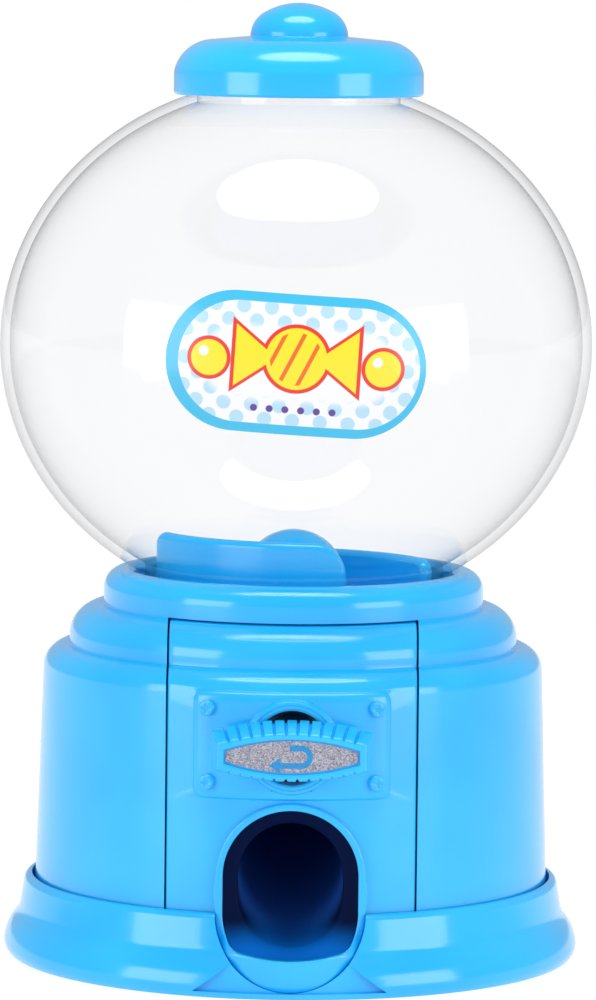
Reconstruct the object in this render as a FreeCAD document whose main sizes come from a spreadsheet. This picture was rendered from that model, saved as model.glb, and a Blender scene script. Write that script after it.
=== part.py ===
import FreeCAD, Part
import math
import os

import Sketcher

# A desk-top candy and gumball machine: a clear globe on a stepped drum. Turning the knob
# drives a pair of bevel gears, and the feed wheel carries sweets to a drop hole at the back.
# Frame: millimetres, +Z up, origin on the floor under the globe's axis, the front faces -Y.

# Driving sizes: lengths in millimetres, angles in degrees, counts as plain numbers
SIZES = {
    # Clearances
    "fit_gap": 0.25,
    "run_gap": 0.05,
    "end_play": 0.3,
    "sticker_gap": 0.02,
    # Globe
    "globe_radius": 43.5,
    "globe_half_height": 39.3,
    "globe_wall": 1.4,
    "neck_radius": 23.4,
    "neck_length": 5.4,
    "bead_reach": 0.7,
    "bead_height": 1.2,
    "filler_radius": 16.3,
    "filler_rise": 4.5,
    # Sticker on the globe
    "label_width": 36.6,
    "label_height": 19.7,
    "label_thickness": 0.15,
    "label_tilt": 3.5,
    # Lid
    "lid_wall": 1.7,
    "lid_gap": 0.3,
    "lid_skirt": 3.4,
    "lid_edge": 0.5,
    "lid_shoulder_rise": 4.7,
    "lid_shoulder_width": 5.7,
    "lid_shoulder_round": 6.0,
    "lid_crown_rise": 0.5,
    "finial_radius": 7.15,
    "finial_wall": 1.7,
    "finial_side": 1.1,
    "finial_round": 3.2,
    "finial_round_rise": 3.1,
    "finial_cap_rise": 0.7,
    # Drum and its tiers
    "shell_wall": 2.0,
    "drum_height": 39.5,
    "drum_draft": 1.3,
    "drum_round_rise": 3.1,
    "drum_step": 3.8,
    "tier_two_side": 1.6,
    "tier_two_round_rise": 4.3,
    "tier_two_step": 5.0,
    "tier_one_side": 2.5,
    "tier_one_round_rise": 2.7,
    "collar_width": 4.6,
    "collar_land": 1.6,
    "collar_depth": 3.7,
    "collar_chamfer": 0.9,
    # Base
    "base_floor": 3.2,
    "rim_wall": 1.15,
    "rim_height": 8.4,
    "rim_round": 1.1,
    "rim_lean": 0.4,
    "step_height": 6.4,
    "step_ledge": 0.8,
    "skirt_flare": 2.9,
    "skirt_round": 7.5,
    "foot_height": 1.8,
    "foot_inset": 0.8,
    "foot_round": 2.4,
    "apron_depth": 1.1,
    "apron_spread": 6.5,
    # Front panel
    "panel_width": 35.5,
    "slot_head": 0.2,
    "lap_width": 2.8,
    "lap_wall": 1.4,
    "plate_width": 27.9,
    "plate_height": 15.2,
    "plate_rise": 0.8,
    "plate_corner": 1.6,
    "ring_radius": 6.6,
    "ring_hole": 5.3,
    "ring_rise": 0.9,
    "stud_radius": 1.15,
    "stud_rise": 0.9,
    "stud_pitch_wide": 23.9,
    "stud_pitch_high": 10.5,
    # Mouth and scoop
    "mouth_radius": 9.6,
    "mouth_rim": 1.1,
    "mouth_rim_rise": 0.7,
    "mouth_drop": 0.4,
    "mouth_floor_height": 11.6,
    "lip_height": 6.0,
    "scoop_round": 14.0,
    "scoop_tuck": 1.4,
    "scoop_lean": 3.4,
    "scoop_depth": 9.3,
    # Hopper floor
    "hopper_plate": 2.0,
    "hopper_drop": 6.5,
    "hopper_wall": 2.0,
    "flange_wall": 2.0,
    "bearing_radius": 5.0,
    "bearing_drop": 4.0,
    "spigot_wall": 1.0,
    "spigot_length": 12.5,
    # Feed wheel
    "wheel_gap": 0.5,
    "wheel_lift": 0.5,
    "wheel_disc": 1.5,
    "hub_radius": 7.7,
    "hub_side": 1.5,
    "pocket_radius": 6.0,
    "pocket_edge": 0.7,
    "pocket_angle": 33.0,
    "arm_wall": 2.0,
    "arm_curve": 25.0,
    "arm_offset": 3.5,
    "arm_front": 13.0,
    "arm_tip": 7.6,
    "arm_round": 5.0,
    "arm_end_gap": 1.8,
    "tall_arm": 8.5,
    "low_arm": 5.2,
    "journal_radius": 3.0,
    "tail_radius": 2.0,
    "flat_depth": 0.5,
    # Bevel gears
    "gear_teeth": 12,
    "gear_face": 0.4,
    "gear_room": 0.9,
    "gear_pressure": 25.0,
    "gear_backlash": 0.16,
    "gear_hub_radius": 4.4,
    "pinion_hub": 2.0,
    # Drive shaft and its bracket
    "gear_hub_length": 2.875,
    "shaft_radius": 2.5,
    "bracket_wall": 2.0,
    "bracket_span": 11.5,
    "bracket_width": 12.0,
    "bracket_pad": 3.0,
    "bracket_ear_pitch": 21.0,
    # Knob
    "knob_gap": 1.7,
    "knob_depth": 7.5,
    "knob_width": 20.9,
    "knob_height": 6.9,
    "knob_end_height": 3.8,
    "knob_taper": 0.9,
    "knob_rim": 0.95,
    "knob_sink": 0.7,
    "knob_socket": 5.0,
    "ridge_count": 13,
    "ridge_depth": 0.45,
    # Chute
    "chute_wall": 1.2,
    "chute_floor_gap": 1.9,
    "chute_slope": 0.2,
    "chute_side": 2.5,
    "chute_headroom": 6.0,
    "tube_overlap": 2.0,
    "ear_radius": 3.4,
    "ear_wall": 6.0,
    # Screws and the posts that take them
    "screw_radius": 1.2,
    "screw_head_radius": 2.2,
    "screw_head": 1.4,
    "screw_bite": 7.0,
    "screw_sink": 0.3,
    "post_radius": 3.2,
    "post_height": 26.0,
    "base_post_angle": 52.0,
    "hopper_post_radius": 2.2,
}

doc = FreeCAD.newDocument("gumball_machine")
sheet = doc.addObject("Spreadsheet::Sheet", "Sizes")
for row, (alias, number) in enumerate(SIZES.items(), start=1):
    sheet.set(f"A{row}", alias)
    sheet.set(f"B{row}", str(number))
    sheet.setAlias(f"B{row}", alias)
doc.recompute()


class Size:
    """A size of the model: its value, and the expression on the sheet that gives it."""

    def __init__(self, value, text):
        self.value = float(value)
        self.text = text

    def __add__(self, other):
        other = as_size(other)
        return Size(self.value + other.value, f"({self.text} + {other.text})")

    def __sub__(self, other):
        other = as_size(other)
        return Size(self.value - other.value, f"({self.text} - {other.text})")

    def __mul__(self, other):
        other = as_size(other)
        return Size(self.value * other.value, f"({self.text} * {other.text})")

    def __truediv__(self, other):
        other = as_size(other)
        return Size(self.value / other.value, f"({self.text} / {other.text})")

    def __neg__(self):
        return Size(-self.value, f"(0 - {self.text})")

    def __radd__(self, other):
        return as_size(other) + self

    def __rsub__(self, other):
        return as_size(other) - self

    def __rmul__(self, other):
        return as_size(other) * self


def as_size(number):
    """A plain number as a Size."""
    return number if isinstance(number, Size) else Size(number, repr(float(number)))


def root(size):
    """The square root of a Size."""
    return Size(math.sqrt(size.value), f"sqrt({size.text})")


def sine(angle):
    """The sine of a Size in degrees."""
    return Size(math.sin(math.radians(angle.value)), f"sin({angle.text} * 1 deg)")


def cosine(angle):
    """The cosine of a Size in degrees."""
    return Size(math.cos(math.radians(angle.value)), f"cos({angle.text} * 1 deg)")


def read(alias):
    """A driving size, with the value that the sheet holds."""
    return Size(getattr(sheet, alias), f"Sizes.{alias}")


S = {alias: read(alias) for alias in SIZES}
pieces = {}


def bind(thing, path, size):
    """Tie one property of an object to the sheet."""
    thing.setExpression(path, as_size(size).text)


def piece(label, thing):
    """Name a finished sub-part: its label also names its file."""
    thing.Label = label
    pieces[label] = thing
    return thing


# Sketches: each corner is (across, up) or (across, up, radius), where radius bends the edge
# that leaves the corner. A positive radius has its centre on the left of the way along.


def bent_edge(start, end, radius):
    """The arc between two points with a signed radius."""
    chord = end - start
    left = FreeCAD.Vector(-chord.y, chord.x, 0).normalize()
    lift = math.sqrt(max(radius * radius - chord.Length ** 2 / 4, 0.0))
    centre = (start + end) / 2 + left * math.copysign(lift, radius)
    first, last = (start, end) if radius > 0 else (end, start)
    angles = [math.atan2(p.y - centre.y, p.x - centre.x) for p in (first, last)]
    circle = Part.Circle(centre, FreeCAD.Vector(0, 0, 1), abs(radius))
    return Part.ArcOfCircle(circle, angles[0], angles[1])


def pin_point(sketch, edge, end, across, up):
    """Fix one end of an edge at a place given by two sizes."""
    for kind, axis, size in (("DistanceX", -2, across), ("DistanceY", -1, up)):
        if abs(size.value) < 1e-9:
            sketch.addConstraint(Sketcher.Constraint("PointOnObject", edge, end, axis))
            continue
        ends = (-1, 1, edge, end) if size.value > 0 else (edge, end, -1, 1)
        size = size if size.value > 0 else -size
        index = sketch.addConstraint(Sketcher.Constraint(kind, *ends, size.value))
        bind(sketch, f"Constraints[{index}]", size)


def draw(sketch, corners):
    """Draw a closed outline of lines and arcs, with every corner and radius tied to the sheet."""
    corners = [tuple(as_size(value) for value in corner) for corner in corners]
    points = [FreeCAD.Vector(c[0].value, c[1].value, 0) for c in corners]
    ends = []
    for index, corner in enumerate(corners):
        start, end = points[index], points[(index + 1) % len(points)]
        if len(corner) == 2:
            edge = sketch.addGeometry(Part.LineSegment(start, end), False)
            ends.append((edge, 1, 2))
            continue
        edge = sketch.addGeometry(bent_edge(start, end, corner[2].value), False)
        ends.append((edge, 1, 2) if corner[2].value > 0 else (edge, 2, 1))
    for index, (edge, start, end) in enumerate(ends):
        following = ends[(index + 1) % len(ends)]
        sketch.addConstraint(Sketcher.Constraint("Coincident", edge, end, following[0], following[1]))
        pin_point(sketch, edge, start, corners[index][0], corners[index][1])
        if len(corners[index]) == 3:
            radius = corners[index][2]
            radius = radius if radius.value > 0 else -radius
            at = sketch.addConstraint(Sketcher.Constraint("Radius", edge, radius.value))
            bind(sketch, f"Constraints[{at}]", radius)


def sketch_in(body, name, plane, offset=None):
    """A sketch on one of a body's own origin planes, moved along its normal by offset."""
    sketch = body.newObject("Sketcher::SketchObject", name)
    support = [f for f in body.Origin.OriginFeatures if f.Role == plane][0]
    sketch.AttachmentSupport = [(support, "")]
    sketch.MapMode = "FlatFace"
    if offset is not None:
        bind(sketch, "AttachmentOffset.Base.z", offset)
    return sketch


def turned(name, corners):
    """A body turned about the Z axis from an outline of (radius, height) corners."""
    body = doc.addObject("PartDesign::Body", name)
    sketch = sketch_in(body, f"{name}_profile", "XZ_Plane")
    draw(sketch, corners)
    turn = body.newObject("PartDesign::Revolution", f"{name}_turn")
    turn.Profile = (sketch, [""])
    turn.ReferenceAxis = (sketch, ["V_Axis"])
    turn.Angle = 360
    return body


def bar(name, corners, front, back):
    """A body with a (across, height) outline that runs from y = front back to y = back."""
    body = doc.addObject("PartDesign::Body", name)
    sketch = sketch_in(body, f"{name}_outline", "XZ_Plane", -as_size(back))
    draw(sketch, corners)
    pad = body.newObject("PartDesign::Pad", f"{name}_pad")
    pad.Profile = (sketch, [""])
    bind(pad, "Length", as_size(back) - front)
    return body


def place(thing, spot):
    """Tie an object's place to three sizes."""
    for axis, size in zip("xyz", spot):
        bind(thing, f"Placement.Base.{axis}", size)


def cylinder(name, radius, spot, height, forward=False):
    """A cylinder that stands up from spot, or runs forward along -Y from it."""
    thing = doc.addObject("Part::Cylinder", name)
    bind(thing, "Radius", radius)
    bind(thing, "Height", height)
    if forward:
        thing.Placement.Rotation = FreeCAD.Rotation(FreeCAD.Vector(1, 0, 0), 90)
    place(thing, spot)
    return thing


def block(name, low, high):
    """A box between two corners."""
    thing = doc.addObject("Part::Box", name)
    for side, start, end in zip(("Length", "Width", "Height"), low, high):
        bind(thing, side, as_size(end) - start)
    place(thing, low)
    return thing


def cone(name, low_radius, high_radius, low, high):
    """A cone about the Z axis between two heights."""
    thing = doc.addObject("Part::Cone", name)
    bind(thing, "Radius1", low_radius)
    bind(thing, "Radius2", high_radius)
    bind(thing, "Height", as_size(high) - low)
    place(thing, (0, 0, low))
    return thing


def spheroid(name, radius, half_height, centre):
    """A flattened ball about the Z axis."""
    thing = doc.addObject("Part::Ellipsoid", name)
    bind(thing, "Radius1", half_height)
    bind(thing, "Radius2", radius)
    bind(thing, "Radius3", radius)
    place(thing, (0, 0, centre))
    return thing


def fuse(name, *things):
    """Join objects into one."""
    thing = doc.addObject("Part::MultiFuse", name)
    thing.Shapes = list(things)
    return thing


def common(name, *things):
    """Keep what objects share."""
    thing = doc.addObject("Part::MultiCommon", name)
    thing.Shapes = list(things)
    return thing


def cut(name, base, *tools):
    """Cut tools out of a base."""
    thing = doc.addObject("Part::Cut", name)
    thing.Base = base
    thing.Tool = tools[0] if len(tools) == 1 else fuse(f"{name}_tools", *tools)
    return thing


def group(name, *things):
    """Keep separate solids together in one object."""
    thing = doc.addObject("Part::Compound", name)
    thing.Links = list(things)
    return thing


def obround(radius, low, high):
    """The outline of a slot with round ends, upright, between two centres."""
    return [
        (-radius, high),
        (-radius, low, radius),
        (0, low - radius, radius),
        (radius, low),
        (radius, high, radius),
        (0, high + radius, radius),
    ]


# Heights up the drum, from the base's floor to the collar that holds the globe
drum_top = S["base_floor"] + S["drum_height"]
tier_two_bottom = drum_top + S["drum_round_rise"]
tier_two_top = tier_two_bottom + S["tier_two_side"]
tier_one_bottom = tier_two_top + S["tier_two_round_rise"]
tier_one_top = tier_one_bottom + S["tier_one_side"]
collar_top = tier_one_top + S["tier_one_round_rise"]
rim_top = S["base_floor"] + S["rim_height"]

# The slot for the front panel ends a little way up the top tier's wall
slot_top = tier_one_bottom + S["slot_head"]

# Radii out from the globe's neck to the foot
collar_bore = S["neck_radius"] + S["fit_gap"]
tier_one_radius = S["neck_radius"] + S["collar_width"]
tier_one_inside = tier_one_radius - S["shell_wall"]
tier_two_radius = tier_one_radius + S["tier_two_step"]
tier_two_inside = tier_two_radius - S["shell_wall"]
drum_top_radius = tier_two_radius + S["drum_step"]
drum_foot_radius = drum_top_radius + S["drum_draft"]
drum_inside = drum_top_radius - S["shell_wall"]
rim_inside = drum_foot_radius + S["fit_gap"]
rim_radius = rim_inside + S["rim_wall"]
skirt_radius = rim_radius + S["skirt_flare"]
foot_radius = skirt_radius - S["foot_inset"]

# The globe sits where its curve meets the neck, level with the collar's top
neck_share = S["neck_radius"] / S["globe_radius"]
globe_centre = collar_top + S["globe_half_height"] * root(1 - neck_share * neck_share)
filler_share = S["filler_radius"] / S["globe_radius"]
filler_root = globe_centre + S["globe_half_height"] * root(1 - filler_share * filler_share)
filler_top = filler_root + S["filler_rise"]

# The hopper floor under the globe, the feed wheel on it and the gears below
hopper_top = collar_top - S["neck_length"]
hopper_under = hopper_top - S["hopper_plate"]
flange_bottom = hopper_under - S["hopper_drop"]
flange_radius = tier_two_inside - S["fit_gap"]
hopper_radius = tier_one_inside - S["fit_gap"]
bearing_bottom = hopper_under - S["bearing_drop"]
wheel_radius = S["neck_radius"] - S["globe_wall"] - S["wheel_gap"]
wheel_bottom = hopper_top + S["wheel_lift"]
wheel_top = wheel_bottom + S["wheel_disc"]
pocket_ring = wheel_radius - S["pocket_edge"] - S["pocket_radius"]
drop_radius = S["pocket_radius"] + S["fit_gap"]
spigot_radius = drop_radius + S["spigot_wall"]

# A bevel gear's tips lie this much further out than its pitch circle, for each unit of its radius,
# and its tooth roots lie this many times as far in
TIP_SHARE = math.sqrt(2) / S["gear_teeth"].value
ROOT_DEPTH = 1.25
gear_reach = pocket_ring - spigot_radius - S["gear_room"]
gear_radius = gear_reach / (1 + TIP_SHARE)
pinion_back = -(gear_radius + S["pinion_hub"])

# The gear's hub ends under the bearing, and the shaft lies where the gear's cone has its apex
gear_top = bearing_bottom - S["end_play"]
shaft_height = gear_top - S["gear_hub_length"] - gear_radius * (1 + ROOT_DEPTH * TIP_SHARE)

# The mouth's arch ends under the knob's plate
plate_bottom = shaft_height - S["plate_height"] / 2
mouth_outer = S["mouth_radius"] + S["mouth_rim"]
mouth_arch_height = plate_bottom - S["mouth_drop"] - mouth_outer


def drum_radius_at(height, rise=0.0):
    """The drum's outer radius at a height, with its draft, raised by rise."""
    return drum_foot_radius - S["drum_draft"] * (height - S["base_floor"]) / S["drum_height"] + rise


def shell_profile():
    """The wall of the drum and its tiers as (radius, height) corners."""
    inner_step = tier_two_bottom - S["shell_wall"]
    inner_ceiling = tier_one_bottom - S["shell_wall"]
    collar_bottom = collar_top - S["collar_depth"]
    drum_bend = (S["drum_step"] + S["drum_round_rise"]) / 2
    tier_two_bend = (S["tier_two_step"] + S["tier_two_round_rise"]) / 2
    land = S["neck_radius"] + S["collar_land"]
    tier_one_bend = (tier_one_radius - land + S["tier_one_round_rise"]) / 2
    chamfer = S["collar_chamfer"]
    return [
        (drum_foot_radius, S["base_floor"]),
        (drum_top_radius, drum_top, drum_bend),
        (tier_two_radius, tier_two_bottom),
        (tier_two_radius, tier_two_top, tier_two_bend),
        (tier_one_radius, tier_one_bottom),
        (tier_one_radius, tier_one_top, tier_one_bend),
        (land, collar_top),
        (collar_bore + chamfer, collar_top),
        (collar_bore, collar_top - chamfer),
        (collar_bore, collar_bottom),
        (tier_one_inside, collar_bottom),
        (tier_one_inside, inner_ceiling),
        (tier_two_inside, inner_ceiling),
        (tier_two_inside, inner_step),
        (drum_inside, inner_step),
        (drum_foot_radius - S["shell_wall"], S["base_floor"]),
    ]


def screw(name, spot, length, forward=False):
    """A screw: its head's underside lies at spot, and its shank runs up, or back along +Y."""
    head_radius, head = S["screw_head_radius"], S["screw_head"]
    across, along, height = spot
    if forward:
        shank = cylinder(f"{name}_shank", S["screw_radius"], (across, along + length, height), length, True)
        top = cylinder(f"{name}_head", head_radius, spot, head, True)
    else:
        shank = cylinder(f"{name}_shank", S["screw_radius"], spot, length)
        top = cylinder(f"{name}_head", head_radius, (across, along, height - head), head)
    return fuse(name, shank, top)


# Places of the screws
post_ring = drum_foot_radius - S["shell_wall"] - S["post_radius"] * 0.97
base_post_across = post_ring * sine(S["base_post_angle"])
base_post_along = post_ring * cosine(S["base_post_angle"])
BASE_POSTS = [
    (across, along)
    for across in (-base_post_across, base_post_across)
    for along in (-base_post_along, base_post_along)
]
hopper_post_ring = (tier_two_inside + hopper_radius) / 2
HOPPER_POSTS = [
    (hopper_post_ring * math.sin(math.radians(turn)), hopper_post_ring * math.cos(math.radians(turn)))
    for turn in (0, 120, 240)
]
ear_across = spigot_radius + S["fit_gap"] + S["chute_wall"] + S["ear_radius"] * 0.75
CHUTE_EARS = [(-ear_across, pocket_ring), (ear_across, pocket_ring)]
head_seat = S["screw_sink"] + S["screw_head"]
screw_hole = S["screw_radius"] + S["run_gap"]
screw_pass = S["screw_radius"] + S["fit_gap"]


def make_base():
    """The stepped foot: a tray that the drum stands in, notched at the front for the scoop."""
    step_radius = rim_radius + S["step_ledge"]
    tray = turned("base_tray", [
        (0, 0),
        (foot_radius, 0, S["foot_round"]),
        (skirt_radius, S["foot_height"], S["skirt_round"]),
        (step_radius, S["step_height"]),
        (rim_radius + S["rim_lean"], S["step_height"]),
        (rim_radius, rim_top - S["rim_round"], S["rim_round"]),
        (rim_inside + (S["rim_wall"] - S["rim_round"]), rim_top),
        (rim_inside, rim_top),
        (rim_inside, S["base_floor"]),
        (0, S["base_floor"]),
    ])
    outer = mouth_outer + S["fit_gap"]
    clear_front = -(skirt_radius + S["scoop_depth"])
    notch = bar(
        "base_notch",
        obround(outer, S["mouth_floor_height"], mouth_arch_height),
        clear_front,
        scoop_back + S["fit_gap"],
    )
    spread = outer + S["apron_spread"]
    wedge = bar("apron_wedge", [
        (-spread, S["foot_height"] / 2),
        (spread, S["foot_height"] / 2),
        (outer, S["step_height"]),
        (-outer, S["step_height"]),
    ], clear_front, scoop_back)
    core = cylinder("apron_core", skirt_radius - S["apron_depth"], (0, 0, 0), rim_top)
    apron = cut("base_apron", wedge, core)
    holes = []
    for number, (across, along) in enumerate(BASE_POSTS + CHUTE_EARS):
        holes.append(cylinder(f"base_hole_{number}", screw_pass, (across, along, 0), S["base_floor"]))
        wide = S["screw_head_radius"] + S["fit_gap"]
        holes.append(cylinder(f"base_sink_{number}", wide, (across, along, 0), head_seat))
    piece("base", cut("base_cut", tray, notch, apron, *holes))


def make_body_shell():
    """The drum with its tiers, open at the front, with posts inside for the screws."""
    shell = turned("body_turned", shell_profile())
    half = S["panel_width"] / 2 + S["fit_gap"]
    slot = block("body_slot", (-half, -skirt_radius, 0), (half, -hopper_radius / 2, slot_top))
    walls = cut("body_slotted", shell, slot)
    posts, holes = [], []
    for number, (across, along) in enumerate(BASE_POSTS):
        foot = (across, along, S["base_floor"])
        posts.append(cylinder(f"base_post_{number}", S["post_radius"], foot, S["post_height"]))
        holes.append(cylinder(f"base_post_hole_{number}", screw_hole, foot, S["screw_bite"]))
    ceiling = tier_one_bottom - S["shell_wall"]
    flange_top = flange_bottom + S["flange_wall"]
    for number, (across, along) in enumerate(HOPPER_POSTS):
        foot = (across, along, flange_top)
        high = ceiling - flange_top + S["shell_wall"] / 4
        posts.append(cylinder(f"hopper_post_{number}", S["hopper_post_radius"], foot, high))
        holes.append(cylinder(f"hopper_post_hole_{number}", screw_hole, foot, ceiling - flange_top))
    piece("body_shell", cut("body_drilled", fuse("body_posted", walls, *posts), *holes))


# The scoop stands in front of the drum and tucks in behind the panel
scoop_front = -(skirt_radius - S["sticker_gap"])
scoop_back = scoop_front + S["scoop_depth"]
scoop_axis = scoop_front + S["scoop_round"]


def scoop_form(name, inset):
    """The scoop's bowl, round in plan, leaning back above the lip, drawn in by inset."""
    body = turned(name, [
        (0, 0),
        (S["scoop_round"] - S["scoop_tuck"] - inset, 0, S["scoop_round"]),
        (S["scoop_round"] - inset, S["lip_height"]),
        (S["scoop_round"] - S["scoop_lean"] - inset, mouth_arch_height),
        (0, mouth_arch_height),
    ])
    place(body, (0, scoop_axis, 0))
    return body


def make_front_panel():
    """The fitted front: knob plate with studs and ring, the mouth's rim and the scoop."""
    half = S["panel_width"] / 2
    shell = turned("panel_turned", shell_profile())
    panel_top = slot_top - S["fit_gap"]
    front = -skirt_radius - S["scoop_depth"]
    window = block("panel_window", (-half, front, S["base_floor"]), (half, -hopper_radius / 2, panel_top))
    sheet_wall = common("panel_wall", shell, window)

    def raised(name, rise, corners):
        """A pad on the drum's curve, raised by rise inside an outline."""
        skin = cone(
            f"{name}_skin",
            drum_radius_at(S["base_floor"], rise),
            drum_radius_at(drum_top + S["drum_height"] / 8, rise),
            S["base_floor"],
            drum_top + S["drum_height"] / 8,
        )
        reach = bar(f"{name}_reach", corners, front, -drum_inside * 0.75)
        core = cone(
            f"{name}_core",
            drum_radius_at(S["base_floor"], -S["shell_wall"] / 2),
            drum_radius_at(drum_top + S["drum_height"] / 8, -S["shell_wall"] / 2),
            S["base_floor"],
            drum_top + S["drum_height"] / 8,
        )
        return cut(f"{name}_pad", common(f"{name}_form", skin, reach), core)

    wide, high, corner = S["plate_width"] / 2, S["plate_height"] / 2, S["plate_corner"]
    low, top = shaft_height - high, shaft_height + high
    plate = raised("plate", S["plate_rise"], [
        (-wide + corner, low),
        (wide - corner, low, corner),
        (wide, low + corner),
        (wide, top - corner, corner),
        (wide - corner, top),
        (-wide + corner, top, corner),
        (-wide, top - corner),
        (-wide, low + corner, corner),
    ])
    outer = mouth_outer
    low_centre, high_centre = S["mouth_floor_height"], mouth_arch_height
    rim = raised("mouth_rim", S["mouth_rim_rise"], obround(outer, low_centre, high_centre))
    tube = bar("scoop_tube", obround(outer, low_centre, high_centre), front, scoop_back)
    scoop = common("scoop_outer", tube, scoop_form("scoop_bowl", 0.0))

    plate_front = drum_radius_at(shaft_height, S["plate_rise"])
    back = -drum_inside
    ring_length = plate_front - drum_inside + S["ring_rise"]
    ring = cylinder("ring_boss", S["ring_radius"], (0, back, shaft_height), ring_length, True)
    bore_length = ring_length * 2
    bore_start = back + ring_length / 2
    bore = cylinder("ring_bore", S["ring_hole"], (0, bore_start, shaft_height), bore_length, True)

    studs = []
    for across in (-S["stud_pitch_wide"] / 2, S["stud_pitch_wide"] / 2):
        for height in (-S["stud_pitch_high"] / 2, S["stud_pitch_high"] / 2):
            level = shaft_height + height
            skin = drum_radius_at(level, S["plate_rise"])
            face = root(skin * skin - across * across)
            seat = -(face - S["shell_wall"] / 2)
            long = S["shell_wall"] / 2 + S["stud_rise"]
            name = f"stud_{len(studs)}"
            studs.append(cylinder(name, S["stud_radius"], (across, seat, level), long, True))

    laps = []
    lap_low, lap_high = S["base_floor"], drum_top - S["shell_wall"]
    lap_back = -S["shell_wall"] - S["fit_gap"] - S["lap_wall"]
    for side in (-1, 1):
        for name, rise, reach in (
            ("lap", -S["shell_wall"] - S["fit_gap"], half + S["lap_width"]),
            ("lap_root", -S["shell_wall"] / 2, half),
        ):
            skin = cone(
                f"{name}_skin_{side + 1}",
                drum_radius_at(lap_low, rise),
                drum_radius_at(lap_high, rise),
                lap_low,
                lap_high,
            )
            inner = cone(
                f"{name}_core_{side + 1}",
                drum_radius_at(lap_low, lap_back),
                drum_radius_at(lap_high, lap_back),
                lap_low,
                lap_high,
            )
            inside = half - S["lap_width"]
            start, end = (inside, reach) if side > 0 else (-reach, -inside)
            strip = block(f"{name}_strip_{side + 1}", (start, front, lap_low), (end, 0, lap_high))
            ring_wall = cut(f"{name}_wall_{side + 1}", skin, inner)
            laps.append(common(f"{name}_{side + 1}", ring_wall, strip))

    form = fuse("panel_form", sheet_wall, plate, rim, scoop, ring, *studs, *laps)
    throat = bar("mouth_throat", obround(S["mouth_radius"], low_centre, high_centre), front, scoop_back)
    throat_low = common("mouth_bowl", throat, scoop_form("scoop_hollow", S["mouth_rim"]))
    over = block("mouth_over", (-outer, front, S["lip_height"]), (outer, scoop_back, drum_top))
    throat_high = common("mouth_open", throat, over)
    piece("front_panel", cut("panel_cut", form, throat_low, throat_high, bore))


def make_globe():
    """The clear globe: a flattened ball with a seated neck below and a filler neck above."""
    wall = S["globe_wall"]
    ball = spheroid("globe_ball", S["globe_radius"], S["globe_half_height"], globe_centre)
    neck_high = S["neck_length"] + wall
    neck = cylinder("globe_neck", S["neck_radius"], (0, 0, hopper_top), neck_high)
    bead_radius = S["neck_radius"] + S["bead_reach"]
    bead = cylinder("globe_bead", bead_radius, (0, 0, hopper_top), S["bead_height"])
    filler_start = filler_root - wall * 2
    filler = cylinder("globe_filler", S["filler_radius"], (0, 0, filler_start), filler_top - filler_start)
    outside = fuse("globe_outside", ball, neck, bead, filler)
    hollow = spheroid(
        "globe_hollow", S["globe_radius"] - wall, S["globe_half_height"] - wall, globe_centre
    )
    under = S["globe_half_height"] / 4
    neck_bore = cylinder(
        "globe_neck_bore",
        S["neck_radius"] - wall,
        (0, 0, hopper_top - under),
        under + S["neck_length"] + wall * 2,
    )
    filler_bore = cylinder(
        "globe_filler_bore",
        S["filler_radius"] - wall,
        (0, 0, filler_root - wall * 4),
        S["filler_rise"] + wall * 8,
    )
    piece("globe", cut("globe_shell", outside, hollow, neck_bore, filler_bore))


def make_globe_label():
    """The sticker: a slot-shaped patch of the globe's curve, a little tilted."""
    gap, skin = S["sticker_gap"], S["label_thickness"]
    outer = spheroid(
        "label_outer", S["globe_radius"] + gap + skin, S["globe_half_height"] + gap + skin, globe_centre
    )
    inner = spheroid("label_inner", S["globe_radius"] + gap, S["globe_half_height"] + gap, globe_centre)
    half, end = S["label_width"] / 2 - S["label_height"] / 2, S["label_height"] / 2
    lean = half * sine(S["label_tilt"])
    reach = half * cosine(S["label_tilt"])
    rise, run = end * cosine(S["label_tilt"]), end * sine(S["label_tilt"])
    middle = globe_centre
    outline = bar("label_outline", [
        (-reach + run, middle + lean + rise, end),
        (-reach - reach * (end / half), middle + lean + lean * (end / half), end),
        (-reach - run, middle + lean - rise),
        (reach - run, middle - lean - rise, end),
        (reach + reach * (end / half), middle - lean - lean * (end / half), end),
        (reach + run, middle - lean + rise),
    ], -S["globe_radius"] * 1.2, -S["globe_radius"] / 2)
    piece("globe_label", common("label_patch", cut("label_skin", outer, inner), outline))


def make_lid():
    """The cap: a skirt that slips over the filler neck, a round shoulder and a finial."""
    bore = S["filler_radius"] + S["lid_gap"]
    radius = bore + S["lid_wall"]
    bottom = filler_root + S["sticker_gap"] * 5
    side = bottom + S["lid_skirt"]
    shoulder = side + S["lid_shoulder_rise"]
    crown = shoulder + S["lid_crown_rise"]
    finial = crown + S["finial_side"]
    finial_turn = finial + S["finial_round_rise"]
    top = finial_turn + S["finial_cap_rise"]
    edge, wall = S["lid_edge"], S["lid_wall"]
    cap_radius = S["finial_radius"] - S["finial_round"] * 0.8
    cap_bend = (cap_radius * cap_radius / S["finial_cap_rise"] + S["finial_cap_rise"]) / 2
    inner_finial = S["finial_radius"] - S["finial_wall"]
    seat = S["filler_radius"] - S["globe_wall"] - edge
    piece("lid", turned("lid_turned", [
        (bore + edge, bottom),
        (radius - edge, bottom, edge),
        (radius, bottom + edge),
        (radius, side, S["lid_shoulder_round"]),
        (radius - S["lid_shoulder_width"], shoulder),
        (S["finial_radius"], crown),
        (S["finial_radius"], finial, S["finial_round"]),
        (cap_radius, finial_turn, cap_bend),
        (0, top),
        (0, finial_turn + S["finial_cap_rise"] - S["finial_wall"]),
        (inner_finial, finial),
        (inner_finial, shoulder - wall),
        (seat - wall, shoulder - wall),
        (seat, filler_top),
        (bore, filler_top),
        (bore, bottom + edge),
    ]))


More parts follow.
